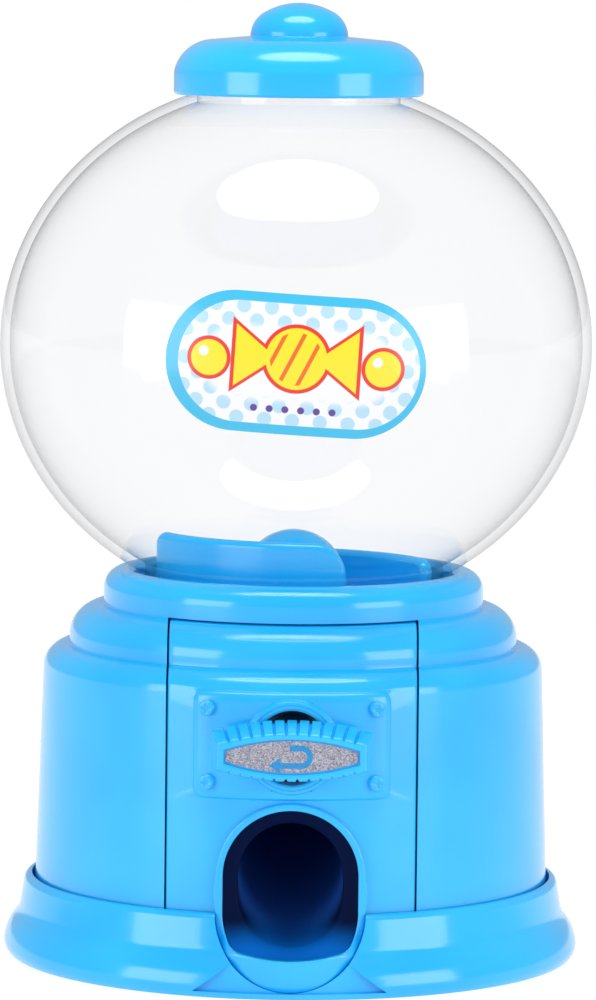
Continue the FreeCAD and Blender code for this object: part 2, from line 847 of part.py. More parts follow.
def make_hopper_floor():
    """The fixed floor under the feed wheel: bearing, drop hole, spigot and a screwed flange."""
    bore = S["journal_radius"] + S["run_gap"]
    flange_top = flange_bottom + S["flange_wall"]
    inside = hopper_radius - S["hopper_wall"]
    hat = turned("hopper_turned", [
        (bore, bearing_bottom),
        (S["bearing_radius"], bearing_bottom),
        (S["bearing_radius"], hopper_under),
        (inside, hopper_under),
        (inside, flange_bottom),
        (flange_radius, flange_bottom),
        (flange_radius, flange_top),
        (hopper_radius, flange_top),
        (hopper_radius, hopper_top),
        (bore, hopper_top),
    ])
    spigot_bottom = hopper_under - S["spigot_length"]
    overlap = S["hopper_plate"] / 2
    spigot = cylinder(
        "spigot", spigot_radius, (0, pocket_ring, spigot_bottom), S["spigot_length"] + overlap
    )
    drop = cylinder(
        "drop_hole", drop_radius, (0, pocket_ring, spigot_bottom), S["spigot_length"] + S["hopper_plate"]
    )
    pads, holes = [], []
    for number, (across, along) in enumerate(bracket_ears):
        foot = (across, along, pad_bottom)
        pads.append(cylinder(f"pad_{number}", S["bracket_pad"], foot, hopper_under - pad_bottom + overlap))
        blind = hopper_under - pad_bottom + overlap
        holes.append(cylinder(f"pad_hole_{number}", screw_hole, foot, blind))
    for number, (across, along) in enumerate(HOPPER_POSTS):
        foot = (across, along, flange_bottom)
        holes.append(cylinder(f"flange_hole_{number}", screw_pass, foot, S["flange_wall"]))
    piece("hopper_floor", cut("hopper_cut", fuse("hopper_form", hat, spigot, *pads), drop, *holes))


# The bracket hangs under the hopper floor, behind the pinion
bracket_rear = pinion_back - S["end_play"]
bracket_front = bracket_rear - S["bracket_span"]
pad_bottom = hopper_under - S["bracket_pad"]
bridge_bottom = pad_bottom - S["bracket_wall"]
ear_along = (bracket_rear + bracket_front) / 2
bracket_ears = [(-S["bracket_ear_pitch"] / 2, ear_along), (S["bracket_ear_pitch"] / 2, ear_along)]


def make_shaft_bracket():
    """Two bearing walls under a bridge, screwed to the hopper floor by its ears."""
    half = S["bracket_width"] / 2
    wall = S["bracket_wall"]
    parts = [block("bridge", (-half, bracket_front, bridge_bottom), (half, bracket_rear, pad_bottom))]
    for number, (across, along) in enumerate(bracket_ears):
        foot = (across, along, bridge_bottom)
        parts.append(cylinder(f"bracket_ear_{number}", S["bracket_pad"], foot, wall))
    pitch = S["bracket_ear_pitch"] / 2
    low = ear_along - S["bracket_pad"]
    high = ear_along + S["bracket_pad"]
    parts.append(block("bracket_bar", (-pitch, low, bridge_bottom), (pitch, high, pad_bottom)))
    for number, back in enumerate((bracket_rear, bracket_front + wall)):
        low_corner = (-half, back - wall, shaft_height)
        parts.append(block(f"bearing_wall_{number}", low_corner, (half, back, bridge_bottom)))
        parts.append(cylinder(f"bearing_foot_{number}", half, (0, back, shaft_height), wall, True))
    length = bracket_rear - bracket_front
    bore = S["shaft_radius"] + S["run_gap"]
    holes = [cylinder("bracket_bore", bore, (0, bracket_rear, shaft_height), length, True)]
    for number, (across, along) in enumerate(bracket_ears):
        foot = (across, along, bridge_bottom)
        holes.append(cylinder(f"bracket_hole_{number}", screw_pass, foot, wall))
    piece("shaft_bracket", cut("bracket_cut", fuse("bracket_form", *parts), *holes))


def make_feed_wheel():
    """The turning floor: a pocketed disc, a domed hub, two swept arms and the tail to the gear."""
    hub, journal, tail = S["hub_radius"], S["journal_radius"], S["tail_radius"]
    dome_foot = wheel_top + S["hub_side"]
    disc = turned("wheel_turned", [
        (0, tail_end),
        (tail, tail_end),
        (tail, gear_top),
        (journal, gear_top),
        (journal, hopper_top),
        (S["bearing_radius"], hopper_top),
        (S["bearing_radius"], wheel_bottom),
        (wheel_radius, wheel_bottom),
        (wheel_radius, wheel_top),
        (hub, wheel_top),
        (hub, dome_foot, hub),
        (0, dome_foot + hub),
    ])
    arms = []
    sink = S["wheel_disc"] / 2
    reach = wheel_radius - S["arm_end_gap"]
    for name, rise, side in (("tall_arm", S["tall_arm"], 1), ("low_arm", S["low_arm"], -1)):
        bend = S["arm_curve"]
        middle = (side * S["arm_offset"], side * (bend - S["arm_front"]), wheel_top - sink)
        outer = cylinder(f"{name}_outer", bend + S["arm_wall"] / 2, middle, rise + sink)
        inner = cylinder(f"{name}_inner", bend - S["arm_wall"] / 2, middle, rise + sink)
        sweep = cut(f"{name}_sweep", outer, inner)
        tip, end, low = side * S["arm_tip"], -side * reach, wheel_top - sink
        top = wheel_top + rise
        turn = rise * (S["arm_round"] / S["tall_arm"])
        near = tip - side * turn
        outline = [(end, low), (tip, low), (tip, top - turn, side * turn), (near, top), (end, top)]
        across = (-wheel_radius, wheel_radius / 4) if side > 0 else (-wheel_radius / 4, wheel_radius)
        fence = bar(f"{name}_outline", outline, across[0], across[1])
        arms.append(common(name, sweep, fence))
    pockets = []
    for number, side in enumerate((1, -1)):
        across = side * pocket_ring * cosine(S["pocket_angle"])
        along = -side * pocket_ring * sine(S["pocket_angle"])
        spot = (across, along, wheel_bottom)
        pockets.append(cylinder(f"pocket_{number}", S["pocket_radius"], spot, S["wheel_disc"]))
    hole = cylinder("tail_hole", screw_hole_small, (0, 0, tail_end), S["screw_bite"])
    flat = block(
        "tail_flat",
        (tail - S["flat_depth"], -tail, tail_end),
        (tail * 2, tail, gear_top),
    )
    form = fuse("wheel_form", cut("wheel_pocketed", disc, *pockets), *arms)
    piece("feed_wheel", cut("wheel_cut", form, hole, flat))


# The wheel's tail ends inside the gear
gear_module = 2 * gear_radius / S["gear_teeth"]
gear_small_end = shaft_height + (1 - S["gear_face"]) * (gear_radius - gear_module * math.sqrt(0.5))
tail_end = gear_small_end + S["end_play"]
small_screw_radius = S["screw_radius"] * 0.75
screw_hole_small = small_screw_radius + S["run_gap"]


def bevel_outline(radius, teeth, pressure, backlash, turn):
    """Tooth points of a mitre gear, seen from its apex, on the plane of its pitch circle.

    On the back cone the gear is an involute spur gear of sqrt(2) times its radius and teeth.
    A point at spur radius p lies d = (p - sqrt(2) radius) / sqrt(2) outside the pitch circle,
    and is seen at radius * (radius + d) / (radius - d) on the pitch plane.
    """
    spur = radius * math.sqrt(2)
    module = 2 * radius / teeth
    base = spur * math.cos(pressure)
    half_tooth = math.pi / (2 * teeth * math.sqrt(2)) - backlash / (2 * spur)
    heights = [spur - 1.2 * module, spur - 0.6 * module, spur, spur + 0.5 * module, spur + module]

    def half_angle(reach):
        """Half of the tooth's angle at a spur radius, from the involute."""
        spread = math.acos(min(base / max(reach, base), 1.0))
        return half_tooth + (math.tan(pressure) - pressure) - (math.tan(spread) - spread)

    flank = []
    for reach in heights:
        lift = (reach - spur) * math.sqrt(0.5)
        flank.append((radius * (radius + lift) / (radius - lift), half_angle(reach) * math.sqrt(2)))
    points = []
    for tooth in range(teeth):
        middle = turn + 2 * math.pi * tooth / teeth
        for far, angle in flank:
            points.append((far, middle - angle))
        for far, angle in reversed(flank):
            points.append((far, middle + angle))
    return [(far * math.cos(angle), far * math.sin(angle)) for far, angle in points]


def bevel_teeth(turn):
    """The toothed cone of a mitre gear: apex at the origin, axis +Z, with its back cone trimmed."""
    radius, teeth = gear_radius.value, int(round(S["gear_teeth"].value))
    module = 2 * radius / teeth
    outline = bevel_outline(
        radius, teeth, math.radians(S["gear_pressure"].value), S["gear_backlash"].value, turn
    )
    wires = []
    for share in (0.4, 1.3):
        ring = [FreeCAD.Vector(share * x, share * y, share * radius) for x, y in outline]
        wires.append(Part.makePolygon(ring + ring[:1]))
    teeth_cone = Part.makeLoft(wires, True, True)
    tip, foot = module * math.sqrt(0.5), ROOT_DEPTH * module * math.sqrt(0.5)
    small = 1 - S["gear_face"].value
    section = [
        (0, small * (radius + foot)),
        (small * (radius - foot), small * (radius + foot)),
        (small * (radius + tip), small * (radius - tip)),
        (radius + tip, radius - tip),
        (radius - foot, radius + foot),
        (0, radius + foot),
    ]
    ring = [FreeCAD.Vector(x, 0, z) for x, z in section]
    face = Part.Face(Part.makePolygon(ring + ring[:1]))
    blank = face.revolve(FreeCAD.Vector(0, 0, 0), FreeCAD.Vector(0, 0, 1), 360)
    return teeth_cone.common(blank)


def gear_feature(name, turn, spot, forward):
    """The toothed cone as an object of the document, on the vertical or the forward axis."""
    thing = doc.addObject("Part::Feature", name)
    thing.Shape = bevel_teeth(turn)
    axis = FreeCAD.Rotation(FreeCAD.Vector(1, 0, 0), 90 if forward else 0)
    thing.Placement = FreeCAD.Placement(FreeCAD.Vector(*spot), axis)
    return thing


def make_gears():
    """The driven gear on the wheel's tail, and the drive shaft with its pinion."""
    teeth = S["gear_teeth"].value
    apex = (0, 0, shaft_height.value)
    hub_low = shaft_height + gear_radius
    small = gear_small_end
    tail_fit = S["tail_radius"] + S["run_gap"]
    wheel = gear_feature("gear_teeth", 0.0, apex, False)
    hub = cylinder("gear_hub", S["gear_hub_radius"], (0, 0, hub_low), gear_top - hub_low)
    bore = cylinder("gear_bore", tail_fit, (0, 0, small), gear_top - small)
    flat_at = S["tail_radius"] - S["flat_depth"] + S["run_gap"]
    flat = block("gear_flat", (flat_at, -tail_fit, small), (tail_fit * 2, tail_fit, gear_top))
    keyed = cut("gear_keyed_bore", bore, flat)
    piece("driven_gear", cut("gear_cut", fuse("gear_form", wheel, hub), keyed))

    pinion = gear_feature("pinion_teeth", math.pi / teeth, apex, True)
    collar = cylinder(
        "pinion_collar",
        S["gear_hub_radius"],
        (0, -gear_radius, shaft_height),
        S["pinion_hub"],
        True,
    )
    rod = cylinder(
        "shaft_rod",
        S["shaft_radius"],
        (0, -gear_radius, shaft_height),
        -gear_radius - shaft_end,
        True,
    )
    hole_start = shaft_end + S["screw_bite"]
    hole = cylinder("shaft_hole", screw_hole, (0, hole_start, shaft_height), S["screw_bite"], True)
    radius = S["shaft_radius"]
    cut_low = shaft_height + radius - S["flat_depth"]
    key = block("shaft_flat", (-radius, shaft_end, cut_low), (radius, knob_back, cut_low + radius))
    piece("drive_shaft", cut("shaft_cut", fuse("shaft_form", pinion, collar, rod), hole, key))


# The knob stands clear of the ring, on the end of the drive shaft
knob_back = -(drum_radius_at(shaft_height, S["plate_rise"]) + S["ring_rise"] + S["knob_gap"])
knob_front = knob_back - S["knob_depth"]
knob_floor = knob_front + S["knob_sink"]
shaft_end = knob_back - S["knob_socket"] + S["end_play"]
knob_head_seat = knob_back - S["knob_socket"] - S["end_play"]


def lens_half(width, middle, end, count, depth):
    """The ridged upper edge of a lens outline, from left to right: an arc with notches in it."""
    half, rise = width / 2, (middle - end) / 2
    bend = (half * half + rise * rise) / (2 * rise)
    centre = middle / 2 - bend
    reach = math.asin(half / bend)
    points = []
    for ridge in range(count):
        for share, sink in ((0.12, depth), (0.3, 0.0), (0.7, 0.0), (0.88, depth)):
            angle = reach * (2 * (ridge + share) / count - 1)
            points.append(((bend - sink) * math.sin(angle), centre + (bend - sink) * math.cos(angle)))
    return [(-half, end / 2)] + points + [(half, end / 2)]


def knob_outline(grow, along, count, depth):
    """The knob's whole outline at one depth, larger by grow on every side, as a wire."""
    upper = lens_half(
        S["knob_width"].value + 2 * grow,
        S["knob_height"].value + 2 * grow,
        S["knob_end_height"].value + 2 * grow,
        count,
        depth,
    )
    ring = upper + [(-x, -z) for x, z in upper]
    points = [FreeCAD.Vector(x, along, shaft_height.value + z) for x, z in ring]
    return Part.makePolygon(points + points[:1])


def make_knob():
    """The turning grip: a tapered, ridged lens with a sunk face and a keyed socket behind."""
    count, depth = int(round(S["ridge_count"].value)), S["ridge_depth"].value
    grip = doc.addObject("Part::Feature", "knob_grip")
    grip.Shape = Part.makeLoft([
        knob_outline(S["knob_taper"].value, knob_back.value, count, depth),
        knob_outline(0.0, knob_front.value, count, depth),
    ], True, True)
    face = bar("knob_face", lens_outline(-S["knob_rim"]), knob_front, knob_floor)
    fit = S["shaft_radius"] + S["run_gap"]
    socket = cylinder("knob_socket", fit, (0, knob_back, shaft_height), S["knob_socket"], True)
    key_low = shaft_height + S["shaft_radius"] - S["flat_depth"] + S["run_gap"]
    key = block(
        "knob_key",
        (-fit, knob_back - S["knob_socket"], key_low),
        (fit, knob_back, key_low + fit),
    )
    keyed = cut("knob_keyed_socket", socket, key)
    pass_length = knob_back - S["knob_socket"] - knob_floor
    passage = cylinder(
        "knob_pass", screw_pass, (0, knob_back - S["knob_socket"], shaft_height), pass_length, True
    )
    wide = S["screw_head_radius"] + S["fit_gap"]
    well = cylinder("knob_well", wide, (0, knob_head_seat, shaft_height), knob_head_seat - knob_floor, True)
    piece("knob", cut("knob_cut", grip, face, keyed, passage, well))


def lens_outline(grow):
    """The lens outline of the knob's face as sketch corners, larger by grow on every side."""
    half = S["knob_width"] / 2 + grow
    middle = S["knob_height"] / 2 + grow
    end = S["knob_end_height"] / 2 + grow
    rise = middle - end
    bend = (half * half / rise + rise) / 2
    return [
        (-half, shaft_height - end, bend),
        (0, shaft_height - middle, bend),
        (half, shaft_height - end),
        (half, shaft_height + end, bend),
        (0, shaft_height + middle, bend),
        (-half, shaft_height + end),
    ]


def make_knob_label():
    """The sunk label on the knob's face."""
    skin = S["label_thickness"]
    back = knob_floor - S["sticker_gap"]
    slab = bar("knob_label_slab", lens_outline(-S["knob_rim"] - S["fit_gap"]), back - skin, back)
    piece("knob_label", slab)


def make_chute():
    """The drop tube behind and the trough that slopes forward under the gears to the scoop."""
    inner = spigot_radius + S["fit_gap"]
    outer = inner + S["chute_wall"]
    wall = S["chute_wall"]
    outlet = scoop_back - S["fit_gap"] * 4
    floor_front = S["base_floor"] + wall + S["chute_floor_gap"]

    def floor_at(along):
        """The height of the trough's floor at a place along Y."""
        return floor_front + S["chute_slope"] * (along - outlet)

    def trough(name, radius, up, ends):
        """A straight run with a round bottom, between two cross-sections along Y."""
        sections = []
        for number, along in enumerate(ends):
            sketch = doc.addObject("Sketcher::SketchObject", f"{name}_section_{number}")
            sketch.Placement.Rotation = FreeCAD.Rotation(FreeCAD.Vector(1, 0, 0), 90)
            bind(sketch, "Placement.Base.y", along)
            centre = floor_at(along) + inner
            draw(sketch, [
                (-radius, centre + up),
                (-radius, centre, radius),
                (0, centre - radius, radius),
                (radius, centre),
                (radius, centre + up),
            ])
            sections.append(sketch)
        loft = doc.addObject("Part::Loft", name)
        loft.Sections = sections
        loft.Solid = True
        loft.Ruled = True
        return loft

    tube_top = hopper_under - S["spigot_length"] + S["tube_overlap"]
    base = S["base_floor"]
    axis = (0, pocket_ring)
    post = cylinder("tube_outer", outer, axis + (base,), tube_top - base)
    run = trough("trough_outer", outer, S["chute_side"], (outlet, pocket_ring))
    ears, ear_holes = [], []
    for number, (across, along) in enumerate(CHUTE_EARS):
        foot = (across, along, base)
        ears.append(cylinder(f"chute_ear_{number}", S["ear_radius"], foot, S["ear_wall"]))
        ear_holes.append(cylinder(f"chute_ear_hole_{number}", screw_hole, foot, S["ear_wall"] - wall))
    form = fuse("chute_form", post, run, *ears)
    ahead = outlet - outer
    behind = pocket_ring + outer
    channel = trough("trough_inner", inner, S["chute_headroom"], (ahead, pocket_ring))
    shaft_room = trough("tube_floor", inner, tube_top, (ahead, behind))
    bore = cylinder("tube_bore", inner, axis + (base,), tube_top - base)
    well = common("tube_inner", bore, shaft_room)
    skirt_top = floor_at(pocket_ring - inner) - wall * 2
    skirt = cylinder("tube_skirt", inner, axis + (base,), skirt_top - base)
    piece("chute", cut("chute_cut", form, channel, well, skirt, *ear_holes))


def make_screws():
    """Every screw, those of one kind together."""
    for label, spots, bite in (
        ("base_screws", BASE_POSTS, S["screw_bite"]),
        ("chute_screws", CHUTE_EARS, S["ear_wall"] - S["chute_wall"]),
    ):
        shank = S["base_floor"] - head_seat + bite - S["end_play"]
        screws = [
            screw(f"{label}_{number}", spot + (head_seat,), shank) for number, spot in enumerate(spots)
        ]
        piece(label, group(f"{label}_group", *screws))
    ceiling = tier_one_bottom - S["shell_wall"]
    bite = ceiling - flange_bottom - S["end_play"]
    flange_spots = [spot + (flange_bottom,) for spot in HOPPER_POSTS]
    screws = [screw(f"hopper_screw_{n}", spot, bite) for n, spot in enumerate(flange_spots)]
    piece("hopper_screws", group("hopper_screws_group", *screws))
    bite = hopper_under - bridge_bottom
    ear_spots = [spot + (bridge_bottom,) for spot in bracket_ears]
    screws = [screw(f"bracket_screw_{n}", spot, bite) for n, spot in enumerate(ear_spots)]
    piece("bracket_screws", group("bracket_screws_group", *screws))
    knob_spot = (0, knob_head_seat, shaft_height)
    piece("knob_screw", screw("knob_screw_form", knob_spot, S["screw_bite"], forward=True))
    head = cylinder(
        "gear_screw_head",
        S["tail_radius"] + S["flat_depth"],
        (0, 0, gear_small_end - S["screw_head"]),
        S["screw_head"],
    )
    stem_length = S["screw_bite"]
    stem = cylinder("gear_screw_stem", small_screw_radius, (0, 0, gear_small_end), stem_length)
    piece("gear_screw", fuse("gear_screw_form", head, stem))


def check_and_write():
    """Recompute, make sure that nothing failed, and write each sub-part to its own file."""
    doc.recompute()
    for thing in doc.Objects:
        if {"Invalid", "Error"} & set(thing.State):
            raise RuntimeError(f"{thing.Name} failed: {thing.State}")
    for label, thing in pieces.items():
        if thing.Shape.isNull() or not thing.Shape.isValid() or not thing.Shape.Solids:
            raise RuntimeError(f"{label} has no valid solid")
    os.makedirs("parts", exist_ok=True)
    for label, thing in pieces.items():
        thing.Shape.exportStep(f"parts/{label}.step")
        print(f"{label}: {len(thing.Shape.Solids)} solid(s), {thing.Shape.Volume:.1f} mm3")


make_base()
make_body_shell()
make_front_panel()
make_globe()
make_globe_label()
make_lid()
make_hopper_floor()
make_shaft_bracket()
make_feed_wheel()
make_gears()
make_knob()
make_knob_label()
make_chute()
make_screws()
check_and_write()
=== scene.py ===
"""Looks for a desk-top candy machine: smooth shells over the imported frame, prints, finishes and a studio."""

import math

import bmesh
import bpy
import numpy as np
from bpy.props import FloatProperty, FloatVectorProperty, IntProperty, PointerProperty
from mathutils import Color, Matrix, Vector


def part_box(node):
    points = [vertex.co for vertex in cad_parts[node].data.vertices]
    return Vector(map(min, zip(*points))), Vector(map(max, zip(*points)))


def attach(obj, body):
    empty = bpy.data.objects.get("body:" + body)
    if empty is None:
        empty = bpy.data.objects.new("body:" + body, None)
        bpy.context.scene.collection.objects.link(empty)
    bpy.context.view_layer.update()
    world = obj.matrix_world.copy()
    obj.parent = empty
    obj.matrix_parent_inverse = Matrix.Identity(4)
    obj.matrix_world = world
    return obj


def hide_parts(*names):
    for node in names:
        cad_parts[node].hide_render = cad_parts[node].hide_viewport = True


bl_info = {
    "name": "Candy machine looks",
    "version": (1, 0, 0),
    "blender": (4, 5, 0),
    "location": "3D View > Sidebar > Candy machine",
    "description": "Smooth shells, prints, finishes and a studio for a desk-top candy machine",
    "category": "Object",
}

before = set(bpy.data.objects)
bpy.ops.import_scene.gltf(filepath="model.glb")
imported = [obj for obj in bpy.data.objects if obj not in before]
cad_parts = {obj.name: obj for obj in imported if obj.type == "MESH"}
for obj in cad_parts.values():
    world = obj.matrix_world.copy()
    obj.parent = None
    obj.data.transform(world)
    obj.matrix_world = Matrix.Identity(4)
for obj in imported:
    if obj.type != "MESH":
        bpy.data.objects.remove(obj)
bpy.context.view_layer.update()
MM = 0.001

# The height of the knob's axis, from the frame's knob before any piece is replaced
KNOB_AXIS = sum(corner.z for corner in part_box("knob")) / 2
# Points closer than this are one point
MERGE = 0.002 * MM
# Edges bent by more than these stay sharp, on the new pieces and on the CAD nodes
SHARP = math.radians(38)
NODE_SHARP = math.radians(24)
# Degrees of an arc between two of its points
ARC_STEP = 5.0
# Places of the points on a softened corner, and the largest share of a way that it takes
BEND_SHARES = np.linspace(0, 1, 6)[1:-1, None]
BEND_REACH = 0.45
# How far a cutter goes past what it cuts
PAST = 1 * MM


def length(name, description, value):
    """A length that a user may change, with its default in millimetres."""
    return FloatProperty(name=name, description=description, default=value * MM, unit="LENGTH", precision=5)


def angle(name, description, value):
    """An angle that a user may change, with its default in degrees."""
    return FloatProperty(name=name, description=description, default=math.radians(value), subtype="ANGLE")


def colour(name, description, value):
    """A colour that a user may change, as the screen shows it from 0 to 255."""
    linear = Color([part / 255 for part in value]).from_srgb_to_scene_linear()
    return FloatVectorProperty(
        name=name, description=description, default=tuple(linear), size=3, min=0, max=1, subtype="COLOR"
    )


# Sizes and colours


class GlobeSizes(bpy.types.PropertyGroup):
    """Sizes of the clear globe and its sticker."""

    wall: length("Wall", "Thickness of the clear wall", 1.4)
    half_height: length("Half height", "Half the height of the flattened ball", 39.3)
    neck_radius: length("Neck", "Outer radius of the neck that sits in the collar", 23.4)
    filler_radius: length("Filler", "Outer radius of the filler neck under the lid", 16.3)
    bead_reach: length("Bead reach", "How far the bead stands out at the neck's foot", 0.7)
    bead_height: length("Bead height", "Height of the bead at the neck's foot", 1.2)
    edge: length("Edge", "Softened edge of the necks", 0.3)
    label_width: length("Sticker width", "Length of the sticker along its tilted axis", 36.6)
    label_height: length("Sticker height", "Height of the sticker across its tilted axis", 19.7)
    label_tilt: angle("Sticker tilt", "How far the sticker's right end hangs", 3.5)


class LidSizes(bpy.types.PropertyGroup):
    """Sizes of the lid and its finial."""

    bore: length("Bore", "Inner radius of the skirt", 16.6)
    skirt: length("Skirt", "Height of the upright side", 3.4)
    shoulder_rise: length("Shoulder rise", "Height of the round shoulder", 4.7)
    shoulder_width: length("Shoulder width", "Width of the round shoulder", 5.7)
    shoulder_round: length("Shoulder round", "Radius of the shoulder's curve", 6.0)
    crown_rise: length("Crown rise", "Rise of the crown up to the finial", 0.5)
    finial_radius: length("Finial", "Radius of the finial", 7.15)
    finial_side: length("Finial side", "Upright side of the finial", 0.25)
    finial_round: length("Finial round", "Radius of the finial's curve", 4.2)
    finial_cap: length("Finial cap", "Radius where the finial's flatter cap begins", 4.59)
    finial_cap_rise: length("Cap rise", "Rise of the finial's flatter cap", 1.12)
    wall: length("Wall", "Thickness of the moulding", 1.7)
    edge: length("Edge", "Softened edge of the moulding", 0.45)


class DrumSizes(bpy.types.PropertyGroup):
    """Sizes of the drum with its two tiers and the top ring."""

    wall: length("Wall", "Thickness of the moulding", 2.0)
    top_radius: length("Top radius", "Radius of the drum under its shoulder", 36.8)
    top: length("Top", "Height where the drum's shoulder begins", 42.7)
    tier_two_radius: length("Tier radius", "Radius of the tier above the drum", 33.0)
    tier_two_bottom: length("Tier bottom", "Height where the drum's shoulder ends", 45.8)
    tier_two_top: length("Tier top", "Height where the tier's shoulder begins", 47.4)
    ring_radius: length("Ring radius", "Radius of the top ring", 28.0)
    ring_bottom: length("Ring bottom", "Height where the tier's shoulder ends", 51.7)
    ring_top: length("Ring top", "Height where the top ring's round begins", 54.2)
    land: length("Land", "Outer radius of the flat land round the globe", 25.0)
    bore: length("Bore", "Inner radius of the collar", 23.65)
    bore_depth: length("Bore depth", "Depth of the collar", 3.7)
    drum_bend: length("Drum bend", "Radius of the drum's shoulder", 3.45)
    tier_bend: length("Tier bend", "Radius of the tier's shoulder", 4.65)
    ring_bend: length("Ring bend", "Radius of the top ring's round", 2.85)
    slot: length("Slot", "Half the width of the slot for the front panel", 18.0)
    slot_top: length("Slot top", "Height of the slot's head", 51.9)
    crease: length("Crease", "Softening of the creases between the tiers", 0.25)


class StandSizes(bpy.types.PropertyGroup):
    """Sizes of the round stepped stand."""

    floor: length("Floor", "Height of the tray's floor", 3.2)
    foot_inset: length("Foot inset", "How far the underside's edge lies within the skirt", 0.8)
    foot_height: length("Foot height", "Height of the skirt's widest place", 1.8)
    foot_round: length("Foot round", "Radius of the curve under the skirt", 2.4)
    skirt_round: length("Skirt round", "Radius of the skirt's swell", 6.5)
    step: length("Step", "Height where the skirt runs into the band", 6.1)
    step_inset: length("Step inset", "How far the step lies within the skirt", 2.2)
    step_soft: length("Step softness", "Reach of the hollow curve between skirt and band", 1.1)
    band_inset: length("Band inset", "How far the band's top lies within the skirt", 2.9)
    rim_inside: length("Rim inside", "Inner radius of the rim round the drum", 38.35)
    rim_round: length("Rim round", "Radius of the rim's outer edge", 1.1)
    notch_gap: length("Notch gap", "Gap between the scoop and its notch", 0.015)
    notch_back: length("Notch back", "How far the notch's back lies from the middle", 32.83)
    apron_depth: length("Apron depth", "Depth of the flat beside the scoop", 0.8)
    apron_top: length("Apron top", "Height of the flat's head", 5.0)
    apron_head: length("Apron head", "Half the flat's width at its head", 8.3)
    apron_foot: length("Apron foot", "Half the flat's width at its foot", 13.8)
    screw_head: length("Screw head", "Radius of the screws' heads", 2.2)
    screw_pass: length("Screw hole", "Radius of the screws' holes", 1.45)
    head_seat: length("Head seat", "Height of the seats of the screws' heads", 1.7)
    head_gap: length("Head gap", "Gap round the screws' heads", 0.25)


class PanelSizes(bpy.types.PropertyGroup):
    """Sizes of the front panel with its plate, ring, studs, mouth and scoop."""

    width: length("Width", "Width of the panel's front", 35.5)
    lap: length("Lap", "How far the laps reach behind the drum's wall", 2.8)
    lap_wall: length("Lap wall", "Thickness of the laps", 1.4)
    edge: length("Edge", "Rounding of the panel's long edges", 0.35)
    plate_width: length("Plate width", "Width of the raised plate", 27.9)
    plate_height: length("Plate height", "Height of the raised plate", 15.2)
    plate_rise: length("Plate rise", "How far the plate stands out", 0.8)
    plate_corner: length("Plate corner", "Radius of the plate's corners", 1.6)
    ring_radius: length("Ring", "Outer radius of the ring round the shaft", 6.6)
    ring_hole: length("Ring hole", "Radius of the hole in the ring", 5.3)
    ring_rise: length("Ring rise", "How far the ring stands out from the plate", 0.9)
    stud_radius: length("Stud", "Radius of the plate's moulded studs", 1.15)
    stud_rise: length("Stud rise", "How far a stud stands out", 0.9)
    stud_wide: length("Studs apart", "Distance between the studs across the plate", 23.9)
    stud_high: length("Stud rows", "Distance between the rows of studs", 10.5)
    mouth_radius: length("Mouth", "Inner radius of the mouth's round ends", 9.6)
    mouth_floor: length("Mouth floor", "Height of the lower round end's centre", 11.6)
    mouth_arch: length("Mouth arch", "Height of the arch's centre", 16.8)
    rim: length("Rim", "Thickness of the mouth's rim", 1.1)
    rim_rise: length("Rim rise", "How far the rim stands out from the panel", 0.7)
    lip: length("Lip", "Height of the scoop's lip", 6.0)
    lip_sag: length("Lip sag", "How far the lip sags between its ends", 1.0)
    throat_floor: length("Throat floor", "Height of the throat's floor where it meets the chute", 6.3)
    throat_radius: length("Throat radius", "Inner radius of the chute's trough", 7.5)
    bowl: length("Bowl", "Largest radius of the scoop's bowl", 14.0)
    bowl_tuck: length("Bowl tuck", "How far the bowl draws in at its foot", 1.4)
    bowl_lean: length("Bowl lean", "How far the bowl leans back over its sides", 3.4)


class RotorSizes(bpy.types.PropertyGroup):
    """Sizes of the turning floor with its hub, arms and pockets."""

    tail: length("Tail", "Radius of the tail in the gear", 2.0)
    journal: length("Journal", "Radius of the shaft in its bearing", 3.0)
    boss: length("Boss", "Radius of the boss on the bearing", 5.0)
    boss_height: length("Boss height", "Height of the boss", 0.5)
    disc: length("Disc", "Thickness of the disc", 1.5)
    hub: length("Hub", "Radius of the hub and its dome", 7.7)
    hub_foot: length("Hub foot", "Hollow curve at the hub's foot", 0.5)
    low_edge: length("Low edge", "Softening of the disc's lower edge", 0.2)
    top_edge: length("Top edge", "Softening of the disc's upper edge", 0.3)
    pocket: length("Pocket", "Radius of the pockets", 6.0)
    pocket_ring: length("Pocket ring", "Distance of the pockets from the middle", 14.8)
    pocket_angle: angle("Pocket angle", "Turn of the pockets", 33)
    arm_curve: length("Arm curve", "Radius of the arms' sweep", 25.0)
    arm_offset: length("Arm offset", "How far the sweep's centre lies beside the middle", 3.5)
    arm_front: length("Arm front", "How far the arms stand from the middle", 13.0)
    arm_end: length("Arm end", "How far the arms' outer ends lie from the middle", 19.7)
    arm_tip: length("Arm tip", "How far the arms' tips reach past the middle", 7.6)
    arm_half: length("Arm half", "Half the arms' thickness", 1.0)
    end_round: length("End round", "Rounding of the arms' outer ends", 2.4)
    tip_round: length("Tip round", "Rounding of the tall arm's tip", 5.0)
    tall: length("Tall arm", "Height of the tall arm", 8.5)
    low: length("Low arm", "Height of the low arm", 5.2)


class KnobSizes(bpy.types.PropertyGroup):
    """Sizes of the ridged turning knob."""

    width: length("Width", "Width of the knob's face", 20.9)
    height: length("Height", "Height of the face in the middle", 6.9)
    end_height: length("End height", "Height of the face at its ends", 3.8)
    taper: length("Taper", "How far each side spreads towards the back", 0.9)
    rim: length("Rim", "Width of the rim round the sunk face", 0.95)
    sink: length("Sink", "Depth of the sunk face", 0.7)
    ridges: IntProperty(name="Ridges", description="Number of ridges on each long side", default=13, min=3)
    groove: length("Groove", "Depth of the grooves between the ridges", 0.45)


